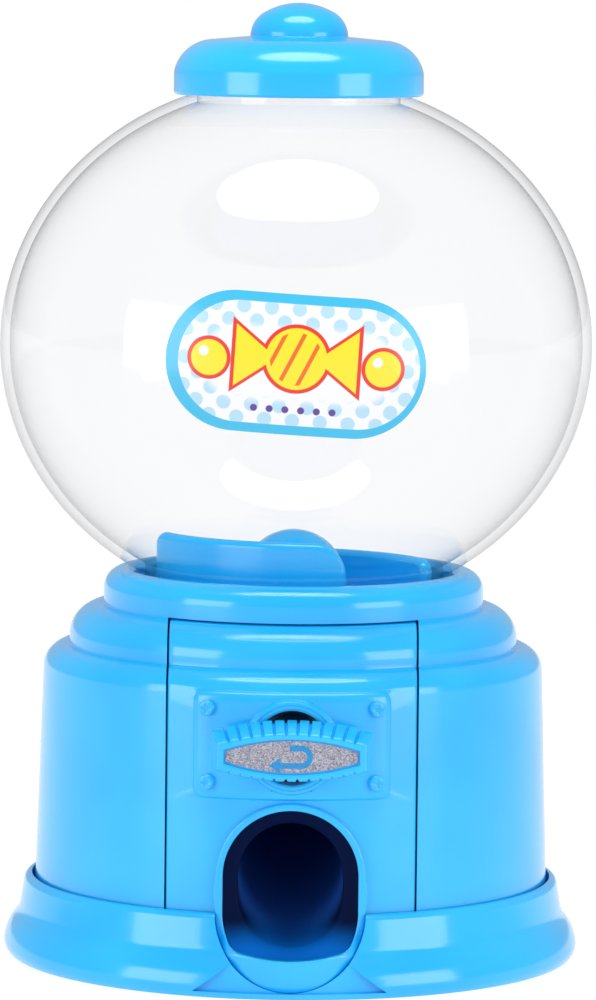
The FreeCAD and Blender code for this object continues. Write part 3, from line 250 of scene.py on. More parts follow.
class Looks(bpy.types.PropertyGroup):
    """Colours of the finishes."""

    plastic: colour("Plastic", "Glossy sky-blue plastic", (22, 178, 246))
    # The next three colours are painted light and shade inside the mouth and the chute: the plastic where
    # light is painted on the throat's floor, the plastic in painted shade, and a lighter painted tone far
    # inside the chute.
    shaded: colour("Shaded plastic", "The same plastic inside the mouth", (10, 122, 226))
    painted_shade: colour("Deep plastic", "The same plastic in the mouth's shade", (6, 22, 62))
    inner: colour("Inner plastic", "The same plastic far inside the chute", (44, 106, 204))
    # Painted shade: a grey for the thin dark contour where the clear wall is seen edge on.
    clear: colour("Clear rim", "Tint of the clear plastic seen edge on", (84, 86, 104))
    gear: colour("Gear plastic", "Natural plastic of the hidden gears", (226, 226, 218))
    steel: colour("Steel", "Plated screws", (190, 192, 196))
    sticker_border: colour("Sticker border", "Border of the globe's sticker", (58, 184, 226))
    sticker_field: colour("Sticker field", "White field of the sticker", (236, 237, 242))
    sticker_dots: colour("Sticker dots", "Pale dots on the field", (150, 206, 232))
    sticker_sweet: colour("Sweets", "Filling of the printed sweets", (255, 222, 40))
    sticker_outline: colour("Outline", "Outline of the printed sweets", (226, 52, 40))
    sticker_back: colour("Sticker back", "Bare back of the sticker", (246, 247, 250))
    sticker_row: colour("Row", "Row of small printed balls", (92, 62, 150))
    foil_dark: colour("Dark flakes", "Darkest flakes of the knob's foil", (132, 132, 150))
    foil_light: colour("Light flakes", "Brightest flakes of the knob's foil", (208, 206, 216))
    arrow: colour("Arrow", "Printed turning arrow", (48, 150, 214))


SIZE_GROUPS = {
    "globe": GlobeSizes, "lid": LidSizes, "drum": DrumSizes, "stand": StandSizes, "panel": PanelSizes,
    "knob": KnobSizes, "rotor": RotorSizes, "looks": Looks,
}


class MachineSizes(bpy.types.PropertyGroup):
    """All the sizes and colours of the machine's looks."""

    __annotations__ = {name: PointerProperty(type=group) for name, group in SIZE_GROUPS.items()}


# Surfaces


def way(start, end, shares):
    """Points at given shares of the way between two corners of (across, up, bulge).

    The way is straight if the first corner's bulge is 0. Otherwise it is an arc of that radius,
    which swells to the right of the way.
    """
    a, b, bulge = start[:2], end[:2], start[2]
    if bulge == 0:
        return a + (b - a) * shares[:, None]
    chord = b - a
    half = np.hypot(*chord) / 2
    right = np.array([chord[1], -chord[0]]) / (2 * half)
    centre = (a + b) / 2 - right * math.sqrt(max(bulge * bulge - half * half, 0))
    begin = math.atan2(*(a - centre)[::-1])
    turn = begin + 2 * math.asin(min(half / bulge, 1)) * shares
    return centre + bulge * np.stack([np.cos(turn), np.sin(turn)], axis=1)


def outline(corners, soft=0.0, closed=True):
    """Points of an outline through corners of (across, up, bulge, soft), where the last two may be left out.

    A corner is softened by a parabola that leaves the way at the distance soft before the corner and
    comes back to it as far behind.
    """
    full = np.array([tuple(corner) + (0.0, soft)[len(corner) - 2:] for corner in corners], float)
    count = len(full)
    after = np.roll(full, -1, axis=0)
    ways = range(count if closed else count - 1)
    runs = []
    for i in ways:
        start, end = full[i], after[i]
        span = np.hypot(*(end - start)[:2])
        sweep = 2 * math.asin(min(span / 2 / start[2], 1)) if start[2] else 0
        span = sweep * start[2] if start[2] else span
        head = min(start[3] / span, BEND_REACH) if closed or i > 0 else 0
        tail = min(end[3] / span, BEND_REACH) if closed or i + 2 < count else 0
        many = 2 + int(math.degrees(sweep) / ARC_STEP)
        runs.append(way(start, end, np.linspace(head, 1 - tail, many)))
    points = [runs[0]]
    near, far = (1 - BEND_SHARES) ** 2, BEND_SHARES ** 2
    for i in list(ways)[1:] + ([0] if closed else []):
        a, b, corner = runs[i - 1][-1], runs[i][0], full[i, :2]
        if full[i, 3] > 0:
            points.append(near * a + 2 * BEND_SHARES * (1 - BEND_SHARES) * corner + far * b)
        if i > 0:
            points.append(runs[i] if full[i, 3] > 0 else runs[i][1:])
    return np.concatenate(points)


def dense(points, count):
    """A closed outline with each of its ways split into as many as count."""
    ahead = np.roll(points, -1, axis=0) - points
    return np.concatenate([points + ahead * part for part in np.arange(count) / count])


def polar(offsets):
    """Angles and lengths of flat offsets from a centre."""
    return np.arctan2(offsets[:, 1], offsets[:, 0]), np.hypot(*offsets.T)


def reach(points, centre, angles):
    """How far an outline round a centre reaches at the given angles."""
    around, far = polar(points - centre)
    order = np.argsort(around)
    return np.interp(angles, around[order], far[order], period=2 * math.pi)


def at_depth(points, y):
    """Points of (across, up) set upright at a depth, or each at its own."""
    return np.stack([points[:, 0], np.broadcast_to(y, len(points)), points[:, 1]], axis=1)


def revolve(profile, turns):
    """A profile of (radius, height) carried round the upright axis. Turn 0 faces the front, -Y."""
    radius, height = profile[:, 0], profile[:, 1]
    turns = turns if np.ndim(turns) == 2 else np.asarray(turns)[:, None]
    x, y = radius * np.sin(turns), -radius * np.cos(turns)
    return np.stack([x, y, np.broadcast_to(height, x.shape)], axis=-1)


def full_turn(count):
    """Evenly spaced turns all the way round, without the last one."""
    return np.arange(count) * 2 * math.pi / count


class Surface:
    """Grids and flat caps gathered into one mesh."""

    def __init__(self):
        self.points, self.faces, self.count = [], [], 0

    def add(self, points, faces):
        """Add points and the faces between them, numbered from 0."""
        points = np.asarray(points).reshape(-1, 3)
        self.points.append(points)
        self.faces += (np.asarray(faces) + self.count).tolist()
        self.count += len(points)
        return self

    def grid(self, points, round_rows=False, round_columns=False):
        """Add a grid of points, rows by columns, wrapped round either way."""
        rows, columns = points.shape[:2]
        down = np.arange(rows if round_rows else rows - 1)[:, None]
        along = np.arange(columns if round_columns else columns - 1)[None, :]
        below, beside = (down + 1) % rows, (along + 1) % columns
        corners = [down * columns + along, down * columns + beside]
        corners += [below * columns + beside, below * columns + along]
        return self.add(points, np.stack(np.broadcast_arrays(*corners), axis=-1).reshape(-1, 4))

    def cap(self, points):
        """Add one flat face through a ring of points."""
        return self.add(points, [np.arange(len(points))])

    def tube(self, rings):
        """Add closed rings of points, joined in their order and capped at both ends."""
        return self.grid(rings, round_columns=True).cap(rings[0]).cap(rings[-1])

    def turned(self, profile, count, closed=False):
        """Add a profile of (radius, height) turned round the upright axis in as many steps as count."""
        return self.grid(revolve(profile, full_turn(count)), True, closed)


def hole_cutter(profile, place, count):
    """A cutter turned from a profile of (radius, height) round an upright axis at a place."""
    return Surface().tube(np.swapaxes(revolve(np.array(profile), full_turn(count)), 0, 1) + place)


def smooth(mesh):
    """Shade a mesh smooth but for its sharp edges."""
    mesh.shade_smooth()
    mesh.set_sharp_from_angle(angle=SHARP)


def make_mesh(name, surface):
    """The surface as a mesh: equal points merged, stray edges deleted, faces outwards, shaded smooth."""
    mesh = bpy.data.meshes.new(name)
    mesh.from_pydata(np.concatenate(surface.points).tolist(), [], surface.faces)
    work = bmesh.new()
    work.from_mesh(mesh)
    bmesh.ops.remove_doubles(work, verts=work.verts, dist=MERGE)
    bmesh.ops.dissolve_degenerate(work, edges=work.edges, dist=MERGE)
    bmesh.ops.delete(work, geom=[edge for edge in work.edges if edge.is_wire], context="EDGES")
    bmesh.ops.recalc_face_normals(work, faces=work.faces)
    work.to_mesh(mesh)
    work.free()
    smooth(mesh)
    return mesh


def carve(thing, cutters):
    """Take closed surfaces away from a piece's mesh. The edges that they leave stay sharp."""
    tools = []
    for surface in cutters:
        tool = bpy.data.objects.new("cutter", make_mesh("cutter", surface))
        bpy.context.scene.collection.objects.link(tool)
        taken = thing.modifiers.new("taken", "BOOLEAN")
        taken.operation, taken.solver, taken.object = "DIFFERENCE", "EXACT", tool
        tools.append(tool)
    graph = bpy.context.evaluated_depsgraph_get()
    mesh = bpy.data.meshes.new_from_object(thing.evaluated_get(graph))
    thing.modifiers.clear()
    for tool in tools:
        bpy.data.objects.remove(tool)
    thing.data = mesh
    smooth(mesh)


def join(thing, surface):
    """Add a closed surface to a piece's mesh."""
    work = bmesh.new()
    for mesh in (thing.data, make_mesh("added", surface)):
        work.from_mesh(mesh)
    work.to_mesh(thing.data)
    work.free()


def make_piece(name, surface, body, finish, nodes=(), cutters=(), added=None):
    """A new piece from a surface: it rides on a body and stands for CAD nodes.

    The finish is given by its name, which is also the slot's. The cutters are closed surfaces taken away
    from the piece, and added is one joined to what is left.
    """
    thing = bpy.data.objects.new(name, make_mesh(name, surface))
    bpy.context.scene.collection.objects.link(thing)
    if cutters:
        carve(thing, cutters)
    if added:
        join(thing, added)
    thing.data.materials.clear()
    thing.data.materials.append(finish_named(finish))
    normals = thing.modifiers.new("even_normals", "WEIGHTED_NORMAL")
    normals.keep_sharp = True
    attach(thing, body)
    if nodes:
        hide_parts(*nodes)


def dress_node(name, finish):
    """Give a CAD node a finish by its name, with its triangles joined and smooth but for sharp edges."""
    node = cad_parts[name]
    node.data.materials.clear()
    node.data.materials.append(finish_named(finish))
    node.data.shade_smooth()
    weld = node.modifiers.new("join", "WELD")
    weld.merge_threshold = MERGE
    split = node.modifiers.new("edges", "EDGE_SPLIT")
    split.split_angle = NODE_SHARP


# Finishes


class Value:
    """A socket of a finish. Python operators between values add Math nodes."""

    def __init__(self, finish, socket):
        self.finish, self.socket = finish, socket

    def math(self, operation, *values):
        """The result of a Math node on this value and others."""
        return self.finish.node("ShaderNodeMath", dict(enumerate((self, *values))), {"operation": operation})

    def __add__(self, other):
        return self.math("ADD", other)

    def __sub__(self, other):
        return self.math("SUBTRACT", other)

    def __mul__(self, other):
        return self.math("MULTIPLY", other)

    def __pow__(self, other):
        return self.math("POWER", other)

    def __rsub__(self, other):
        return self.finish.node("ShaderNodeMath", {0: other, 1: self}, {"operation": "SUBTRACT"})

    __radd__, __rmul__ = __add__, __mul__

    def __abs__(self):
        return self.math("ABSOLUTE")

    def least(self, other):
        """The smaller of two values."""
        return self.math("MINIMUM", other)

    def most(self, other):
        """The larger of two values."""
        return self.math("MAXIMUM", other)

    def ease(self, low, high):
        """0 below low, 1 above high and an eased step between them."""
        sockets = {"Value": self, "From Min": low, "From Max": high}
        return self.finish.node("ShaderNodeMapRange", sockets, {"interpolation_type": "SMOOTHSTEP"})


class Finish:
    """A material under construction."""

    def __init__(self, name):
        self.material = bpy.data.materials.new(name)
        self.material.use_nodes = True
        self.tree = self.material.node_tree
        self.tree.nodes.clear()

    def node(self, kind, sockets=(), settings=(), output=0):
        """Add a node: its settings are set first, then its sockets' values or links. Gives one output."""
        made = self.tree.nodes.new(kind)
        for name, value in dict(settings).items():
            setattr(made, name, value)
        for name, value in dict(sockets).items():
            if isinstance(value, Value):
                self.tree.links.new(value.socket, made.inputs[name])
            else:
                made.inputs[name].default_value = value
        return Value(self, made.outputs[output])

    def place(self):
        """The piece's own coordinates, in metres."""
        return self.node("ShaderNodeTexCoord", output="Object")

    def axes(self, vector):
        """The three numbers of a vector."""
        first = self.node("ShaderNodeSeparateXYZ", {0: vector})
        return [Value(self, socket) for socket in first.socket.node.outputs]

    def noise(self, vector, size):
        """Soft noise from 0 to 1 with patches of about the given size."""
        return self.node("ShaderNodeTexNoise", {"Vector": vector, "Scale": 1 / size})

    def mix(self, mask, first, second):
        """The first colour where mask is 0, the second where it is 1."""
        settings = {"data_type": "RGBA", "clamp_factor": True}
        return self.node("ShaderNodeMix", {0: mask, 6: first, 7: second}, settings, output=2)

    def blend(self, mask, first, second):
        """The first shader where mask is 0, the second where it is 1."""
        return self.node("ShaderNodeMixShader", {0: mask, 1: first, 2: second})

    def bump(self, height, distance, strength):
        """A normal bent by a height field."""
        return self.node("ShaderNodeBump", {"Height": height, "Distance": distance, "Strength": strength})

    def principled(self, sockets):
        """The surface's main shader."""
        return self.node("ShaderNodeBsdfPrincipled", sockets)

    def done(self, shader):
        """Put the shader on the surface and give the material."""
        end = self.tree.nodes.new("ShaderNodeOutputMaterial")
        self.tree.links.new(shader.socket, end.inputs["Surface"])
        return self.material


def shade(value):
    """A stored colour as a shader's four numbers."""
    return (*value, 1.0)


def plastic_finish(looks, throat=None):
    """Glossy moulded plastic: an even sky blue with faint flow marks and a fine orange-peel skin.

    With a throat, the sizes of the panel, painted shade turns it dark blue inside the mouth's outline, from a
    little behind the front. Near the throat's floor the painted shade stays lighter, as painted light there.
    """
    f = Finish("door_plastic" if throat else "blue_plastic")
    place = f.place()
    flow = f.noise(place, size=22 * MM).ease(low=0.3, high=0.75)
    pale = tuple(min(1, 1.12 * part + 0.01) for part in looks.plastic)
    tint = f.mix(flow, shade(looks.plastic), shade(pale))
    if throat:
        # Painted shade: inside the mouth's outline and behind the front the blue falls to dark, with painted
        # light near the throat's floor.
        x, y, z = f.axes(place)
        beyond = (z - throat.mouth_arch).most(throat.mouth_floor - z).most(0.0)
        off = (x ** 2.0 + beyond ** 2.0) ** 0.5 - throat.mouth_radius
        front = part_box("front_panel")[0].y
        blur = 0.05
        behind = y.ease(low=front + 1.6 * MM, high=front + 6.0 * MM)
        above = z.ease(low=5 * MM, high=11 * MM)
        dark = f.mix(above, shade(looks.shaded), shade(looks.painted_shade))
        tint = f.mix(within(off - blur * MM, blur) * behind, tint, dark)
    skin = f.noise(place, size=1.6 * MM)
    return f.done(f.principled({
        "Base Color": tint,
        "Roughness": 0.13 + 0.09 * f.noise(place, size=5 * MM),
        "IOR": 1.5,
        "Coat Weight": 0.25,
        "Coat Roughness": 0.04,
        "Normal": f.bump(skin, distance=0.012 * MM, strength=0.35),
    }))


def chute_shade_finish(looks):
    """The same plastic inside the chute with painted light and shade: painted light at the front of its floor,
    painted shade above and behind that.

    Behind the chute's front the painted shade gives way to a lighter painted tone for the far inside.
    """
    f = Finish("chute_plastic")
    place = f.place()
    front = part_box("chute")[0].y
    _, y, z = f.axes(place)
    # Painted light and shade: dark blue above the floor and behind the front, lighter at the front of the
    # floor and far inside.
    inside = y.ease(low=front + 1 * MM, high=front + 10 * MM)
    behind = y.ease(low=front - 5 * MM, high=front + 14 * MM)
    above = z.ease(low=5.5 * MM, high=10.5 * MM)
    dark = f.mix(inside, shade(looks.painted_shade), shade(looks.inner))
    return f.done(f.principled({
        "Base Color": f.mix(behind.most(above), shade(looks.shaded), dark),
        "Roughness": 0.6 + 0.1 * f.noise(place, size=5 * MM),
        "Specular IOR Level": 0.04,
    }))


def clear_finish(looks):
    """Clear blow-moulded plastic: see-through, glossier towards its edge, with a thin painted dark contour
    there, a grey surface that stands in for shade where the wall is seen edge on.

    The gloss follows Schlick's rule, a base share plus more by the fifth power of the slant. The painted
    contour comes in by a higher power.
    """
    f = Finish("clear_plastic")
    waves = f.bump(f.noise(f.place(), size=14 * MM), distance=0.03 * MM, strength=0.4)
    through = f.node("ShaderNodeBsdfTransparent", {"Color": (0.995, 0.996, 0.999, 1)})
    shine = f.node("ShaderNodeBsdfGlossy", {"Roughness": 0.03, "Normal": waves})
    slant = f.node("ShaderNodeLayerWeight", {"Blend": 0.5}, output="Facing")
    gloss = 0.032 + 0.45 * slant ** 5.0
    # Painted shade: the grey rim surface is mixed in where the wall is seen edge on, for the thin dark
    # contour.
    contour = 0.9 * slant ** 12.0
    rim = f.principled({"Base Color": shade(looks.clear), "Roughness": 0.1, "IOR": 1.5})
    return f.done(f.blend(contour, f.blend(gloss, through, shine), rim))


def plain_finish(name, tint, roughness, metallic=0.0):
    """A hidden part's finish, with faint mottling."""
    f = Finish(name)
    place = f.place()
    darker = [0.86 * part for part in tint]
    return f.done(f.principled({
        "Base Color": f.mix(f.noise(place, size=6 * MM), shade(tint), shade(darker)),
        "Roughness": roughness + 0.12 * f.noise(place, size=3 * MM),
        "Metallic": metallic,
    }))


def disc(u, v, radius, across=0.0, up=0.0):
    """Distance outside a disc in metres, below 0 within it. Its radius and place are in millimetres."""
    return ((u - across * MM) ** 2.0 + (v - up * MM) ** 2.0) ** 0.5 - radius * MM


def within(distance, blur=0.06):
    """1 within a shape and 0 outside it, from the distance to its edge, with a blur in millimetres."""
    return 1.0 - distance.ease(-blur * MM, blur * MM)


def repeat(value, pitch, start=0.0):
    """The value's distance from the nearest of a row of places with a pitch in millimetres.

    Start is a share of the pitch. A hundred pitches are added, so the row goes on below 0.
    """
    return (value + (100 + start) * pitch * MM).math("PINGPONG", pitch / 2 * MM)


def sticker_finish(looks, sizes):
    """Printed film: a cyan border with a wider left side, a dotted white field and three sweets.

    Each shape is a distance field on the sticker's own tilted axes, measured from its middle, with sizes
    in millimetres. The field is a stadium, the middle sweet a disc with a wing on each side that widens
    outwards, and the others are balls. The film's back, which faces the other way, is bare.
    """
    border, field_shift = 1.35, 0.45
    dot, dot_pitch, dot_strength, stripe_strength = 1.0, 3.9, 0.75, 0.85
    sweet, sweet_up, outline_width = 4.3, 0.9, 0.55
    wing_root, wing_tip, wing_slope, wing_start = 4.1, 8.6, 0.75, 2.1
    ball, ball_away, ball_up = 2.5, 12.2, 0.2
    stripe, stripe_pitch, stripe_lean, stripe_shift, stripe_end = 0.32, 2.6, 0.45, 1.0, 3.7
    glint, glint_left, glint_up = 0.7, 0.8, 1.1
    bead, bead_pitch, bead_up, row_end = 0.5, 2.2, -6.3, 6.8

    f = Finish("label_print")
    low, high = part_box("globe_label")
    middle = (low + high) / 2
    x, _, z = f.axes(f.place())
    lean = sizes.label_tilt
    across, up = x - middle.x, z - middle.z
    u = across * math.cos(lean) - up * math.sin(lean)
    v = across * math.sin(lean) + up * math.cos(lean)
    side = abs(u)

    round_end = sizes.label_height / 2
    straight = sizes.label_width / 2 - round_end
    over = (abs(u - field_shift * MM) - straight).most(0.0)
    field = (over ** 2.0 + v ** 2.0) ** 0.5 - (round_end - border * MM)
    art = f.mix(within(field), shade(looks.sticker_border), shade(looks.sticker_field))
    dots = disc(repeat(u, dot_pitch), repeat(v, dot_pitch), dot)
    dots = dots.least(disc(repeat(u, dot_pitch, 0.5), repeat(v, dot_pitch, 0.5), dot))
    near_edge = field.ease(low=-4.2 * MM, high=-2.6 * MM)
    art = f.mix(dot_strength * (within(dots) * within(field) * near_edge), art, shade(looks.sticker_dots))

    wings = (wing_root * MM - side).most(side - wing_tip * MM)
    wings = wings.most(abs(v - sweet_up * MM) - wing_slope * side + wing_start * MM)
    sweets = disc(u, v, sweet, 0, sweet_up).least(wings)
    for hand in (-1, 1):
        sweets = sweets.least(disc(u, v, ball, hand * ball_away, ball_up))
    art = f.mix(within(sweets - outline_width * MM), art, shade(looks.sticker_outline))
    art = f.mix(within(sweets), art, shade(looks.sticker_sweet))
    stripes = repeat(u - stripe_lean * v + stripe_shift * MM, stripe_pitch) - stripe * MM
    stripes = within(stripes.most(disc(u, v, stripe_end, 0, sweet_up)))
    art = f.mix(stripe_strength * stripes, art, shade(looks.sticker_outline))
    for hand in (-1, 1):
        shine = disc(u, v, glint, hand * ball_away - glint_left, glint_up)
        art = f.mix(within(shine), art, shade(looks.sticker_field))
    row = disc(repeat(u, bead_pitch, 0.5), v, bead, 0, bead_up).most(side - row_end * MM)
    art = f.mix(within(row), art, shade(looks.sticker_row))

    turned = f.axes(f.node("ShaderNodeTexCoord", output="Normal"))[1]
    return f.done(f.principled({
        "Base Color": f.mix(turned.ease(low=-0.2, high=0.2), art, shade(looks.sticker_back)),
        "Roughness": 0.28 + 0.1 * f.noise(f.place(), size=4 * MM),
        "Coat Weight": 0.3,
        "Coat Roughness": 0.1,
    }))


def foil_finish(looks):
    """Glittering foil: tiny flakes of differing brightness and tilt, printed with a turning arrow.

    The arrow is a distance field: a line bent back over a half round, and a head that narrows to a tip.
    """
    flake, contrast = 0.16 * MM, 1.6
    line_half, bend, bend_across = 0.42 * MM, 1.25 * MM, 1.3 * MM
    low_end, high_end = -1.9 * MM, -0.3 * MM
    head_back, head_tip, head_slope = -1.6 * MM, -3.2 * MM, 0.72

    f = Finish("glitter_foil")
    low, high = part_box("knob_label")
    middle = (low + high) / 2
    place = f.place()
    x, _, z = f.axes(place)
    u, v = x - middle.x, z - middle.z
    flakes = f.node("ShaderNodeTexVoronoi", {"Vector": place, "Scale": 1 / flake}, output="Color")
    sparkle = f.axes(flakes)[0]
    foil = f.mix(sparkle ** contrast, shade(looks.foil_dark), shade(looks.foil_light))
    over = (u - bend_across).most(0.0)
    line = abs((over ** 2.0 + v ** 2.0) ** 0.5 - bend) - line_half
    line = line.most(low_end - u).most(v.least(high_end - u))
    head = (u - head_back).most(abs(v + bend) - head_slope * (u - head_tip))
    return f.done(f.principled({
        "Base Color": f.mix(within(line.least(head), 0.05), foil, shade(looks.arrow)),
        "Roughness": 0.25 + 0.35 * sparkle,
        "Metallic": 0.35,
        "Normal": f.bump(sparkle, distance=0.05 * MM, strength=0.8),
    }))


# The finishes made so far, by their names
FINISHES = {}


def finish_named(name):
    """A finish by its name, made when it is first asked for."""
    machine = bpy.context.scene.candy_machine
    looks = machine.looks
    makers = {
        "blue_plastic": lambda: plastic_finish(looks),
        # The door's and the chute's finishes hold painted light and shade inside the mouth.
        "door_plastic": lambda: plastic_finish(looks, machine.panel),
        "chute_plastic": lambda: chute_shade_finish(looks),
        "clear_plastic": lambda: clear_finish(looks),
        "gear_plastic": lambda: plain_finish(name, looks.gear, roughness=0.35),
        "screw_steel": lambda: plain_finish(name, looks.steel, roughness=0.25, metallic=1.0),
        "label_print": lambda: sticker_finish(looks, machine.globe),
        "glitter_foil": lambda: foil_finish(looks),
    }
    if name not in FINISHES:
        FINISHES[name] = makers[name]()
    return FINISHES[name]


# Pieces


def globe_outline(sizes):
    """The globe's wall: an ellipse outside and one inside it, between the neck and the filler neck."""
    low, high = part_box("globe")
    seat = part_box("body_shell")[1].z
    radius, steps = high.x, 72
    centre = seat + sizes.half_height * math.sqrt(1 - (sizes.neck_radius / radius) ** 2)

    def ball(inset):
        """An arc of the ellipse from the neck's radius up to the filler's."""
        across, up = radius - inset, sizes.half_height - inset
        neck, filler = sizes.neck_radius - inset, sizes.filler_radius - inset
        turns = np.linspace(math.asin(neck / across), math.pi - math.asin(filler / across), steps)
        return np.stack([across * np.sin(turns), centre - up * np.cos(turns)], axis=1)

    bead = sizes.neck_radius + sizes.bead_reach
    inside, filler_inside = sizes.neck_radius - sizes.wall, sizes.filler_radius - sizes.wall
    neck = outline([
        (inside, low.z + sizes.wall),
        (inside, low.z),
        (bead, low.z),
        (bead, low.z + sizes.bead_height),
        (sizes.neck_radius, low.z + sizes.bead_height),
        (sizes.neck_radius, seat),
    ], sizes.edge, closed=False)
    filler = outline([
        (sizes.filler_radius, high.z - sizes.wall),
        (sizes.filler_radius, high.z),
        (filler_inside, high.z),
        (filler_inside, high.z - sizes.wall),
    ], sizes.edge, closed=False)
    return np.concatenate([neck, ball(0), filler, ball(sizes.wall)[::-1]])


def lid_outline(sizes):
    """The lid's wall: skirt, round shoulder, crown and finial, and the hollow that takes the neck."""
    low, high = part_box("lid")
    radius, seat = high.x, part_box("globe")[1].z
    side = low.z + sizes.skirt
    shoulder = side + sizes.shoulder_rise
    crown = shoulder + sizes.crown_rise
    turn = high.z - sizes.finial_cap_rise
    cap_bend = (sizes.finial_cap ** 2 / sizes.finial_cap_rise + sizes.finial_cap_rise) / 2
    under = shoulder - sizes.wall
    hollow = sizes.finial_radius - sizes.wall
    crease = sizes.edge / 2
    return outline([
        (sizes.bore, low.z, 0, crease),
        (radius, low.z, 0, sizes.edge),
        (radius, side, sizes.shoulder_round, sizes.edge),
        (radius - sizes.shoulder_width, shoulder, 0, sizes.edge),
        (sizes.finial_radius, crown, 0, crease),
        (sizes.finial_radius, crown + sizes.finial_side, sizes.finial_round, sizes.edge),
        (sizes.finial_cap, turn, cap_bend, sizes.edge),
        (0, high.z),
        (0, high.z - sizes.wall),
        (hollow, crown + sizes.finial_side, 0, crease),
        (hollow, under, 0, crease),
        (sizes.bore - 2 * sizes.wall, under, 0, crease),
        (sizes.bore - sizes.wall, seat, 0, crease),
        (sizes.bore, seat, 0, crease),
    ])


def drum_corners(sizes):
    """Corners of the drum's outer outline, from its foot over both tiers to the land round the globe."""
    low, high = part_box("body_shell")
    return [
        (high.x, low.z),
        (sizes.top_radius, sizes.top, sizes.drum_bend, sizes.crease),
        (sizes.tier_two_radius, sizes.tier_two_bottom, 0, sizes.crease),
        (sizes.tier_two_radius, sizes.tier_two_top, sizes.tier_bend, sizes.crease),
        (sizes.ring_radius, sizes.ring_bottom, 0, sizes.crease),
        (sizes.ring_radius, sizes.ring_top, sizes.ring_bend, sizes.crease),
        (sizes.land, high.z, 0, sizes.crease),
    ]


def shell_surface(sizes):
    """The drum: its wall's outline carried round the axis, with the panel's slot cut from the front.

    A turn at radius r starts at the arc sine of the slot's half width over r, so the slot's walls are
    flat. Above the slot's head the turns close in front.
    """
    low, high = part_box("body_shell")
    wall, head = sizes.wall, sizes.slot_top
    inner = sizes.ring_radius - wall
    bore_low = high.z - sizes.bore_depth
    chamfer = sizes.land - sizes.bore - 2 * sizes.crease
    back = outline([
        (inner, head),
        (inner, sizes.ring_bottom - wall),
        (sizes.tier_two_radius - wall, sizes.ring_bottom - wall),
        (sizes.tier_two_radius - wall, sizes.tier_two_bottom - wall),
        (sizes.top_radius - wall, sizes.tier_two_bottom - wall),
        (high.x - wall, low.z),
    ], closed=False)
    collar = outline([
        (sizes.bore + chamfer, high.z, 0, sizes.crease),
        (sizes.bore, high.z - chamfer, 0, sizes.crease),
        (sizes.bore, bore_low),
        (inner, bore_low),
        (inner, head),
    ], closed=False)
    outer = outline(drum_corners(sizes), closed=False)
    cut = outer[:, 1] < head
    head_outer = [(sizes.ring_radius, head)]
    lower = np.concatenate([head_outer, outer[cut][::-1], back[::-1]])
    upper = np.concatenate([head_outer, outer[~cut], collar])
    slot_head = np.array([(sizes.ring_radius, head), (inner, head)])
    behind, ahead = np.linspace(0, 1, 145)[:, None], np.linspace(0, 1, 33)[:, None]

    def carried(profile, shares, front=False):
        """A profile carried round behind the slot, or across its front."""
        side = np.arcsin(sizes.slot / profile[:, 0])
        start, span = (2 * math.pi - side, 2 * side) if front else (side, 2 * (math.pi - side))
        return revolve(profile, start + span * shares)

    walls = carried(lower, behind)
    surface = Surface().grid(walls).cap(walls[0]).cap(walls[-1])
    surface.grid(carried(upper, behind))
    surface.grid(carried(upper, ahead, front=True))
    return surface.grid(carried(slot_head, ahead, front=True))


def stand_surface(sizes):
    """The stand: a swelling skirt, a hollow curve into the band, the rim and the tray's floor, turned."""
    widest, _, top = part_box("base")[1]
    return Surface().turned(outline([
        (0, 0),
        (widest - sizes.foot_inset, 0, sizes.foot_round),
        (widest, sizes.foot_height, sizes.skirt_round),
        (widest - sizes.step_inset, sizes.step, 0, sizes.step_soft),
        (widest - sizes.band_inset, top - sizes.rim_round, sizes.rim_round, sizes.rim_round / 4),
        (widest - sizes.band_inset - sizes.rim_round, top),
        (sizes.rim_inside, top),
        (sizes.rim_inside, sizes.floor),
        (0, sizes.floor),
    ], closed=False), count=180)


def stand_cutters(sizes, panel):
    """What is taken from the stand: the scoop's notch, the flats beside it and the screws' holes.

    The flats lie on a cylinder a little smaller than the skirt, and narrow from their foot to their head.
    """
    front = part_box("base")[0].y
    outside = 2 * front
    notch = obround(panel.mouth_radius + panel.rim + sizes.notch_gap, panel.mouth_floor, panel.mouth_arch)
    notch = np.stack([at_depth(notch, outside), at_depth(notch, -sizes.notch_back)])
    rows, columns = 8, 24
    heights = np.linspace(sizes.foot_height / 2, sizes.apron_top, rows)[:, None]
    half = np.linspace(sizes.apron_foot, sizes.apron_head, rows)[:, None]
    across = np.linspace(-1, 1, columns) * half
    near = -np.sqrt((-front - sizes.apron_depth) ** 2 - across ** 2)
    x = np.concatenate([across, across[:, ::-1]], axis=1)
    y = np.concatenate([near, np.full(near.shape, outside)], axis=1)
    flats = np.stack([x, y, np.broadcast_to(heights, x.shape)], axis=-1)
    cutters = [Surface().tube(notch), Surface().tube(flats)]
    head, shank = sizes.screw_head + sizes.head_gap, sizes.screw_pass
    hole = [(head, -PAST), (head, sizes.head_seat), (shank, sizes.head_seat), (shank, sizes.floor + PAST)]
    (left, fore, _), (right, back, _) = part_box("base_screws")
    (ear_left, _, _), (ear_right, ear_back, _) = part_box("chute_screws")
    corners = [(left, fore), (left, back), (right, fore), (right, back)]
    corners += [(ear_left, ear_back), (ear_right, ear_back)]
    for corner in corners:
        x, y = (edge - math.copysign(sizes.screw_head, edge) for edge in corner)
        cutters.append(hole_cutter(hole, (x, y, 0), count=32))
    return cutters


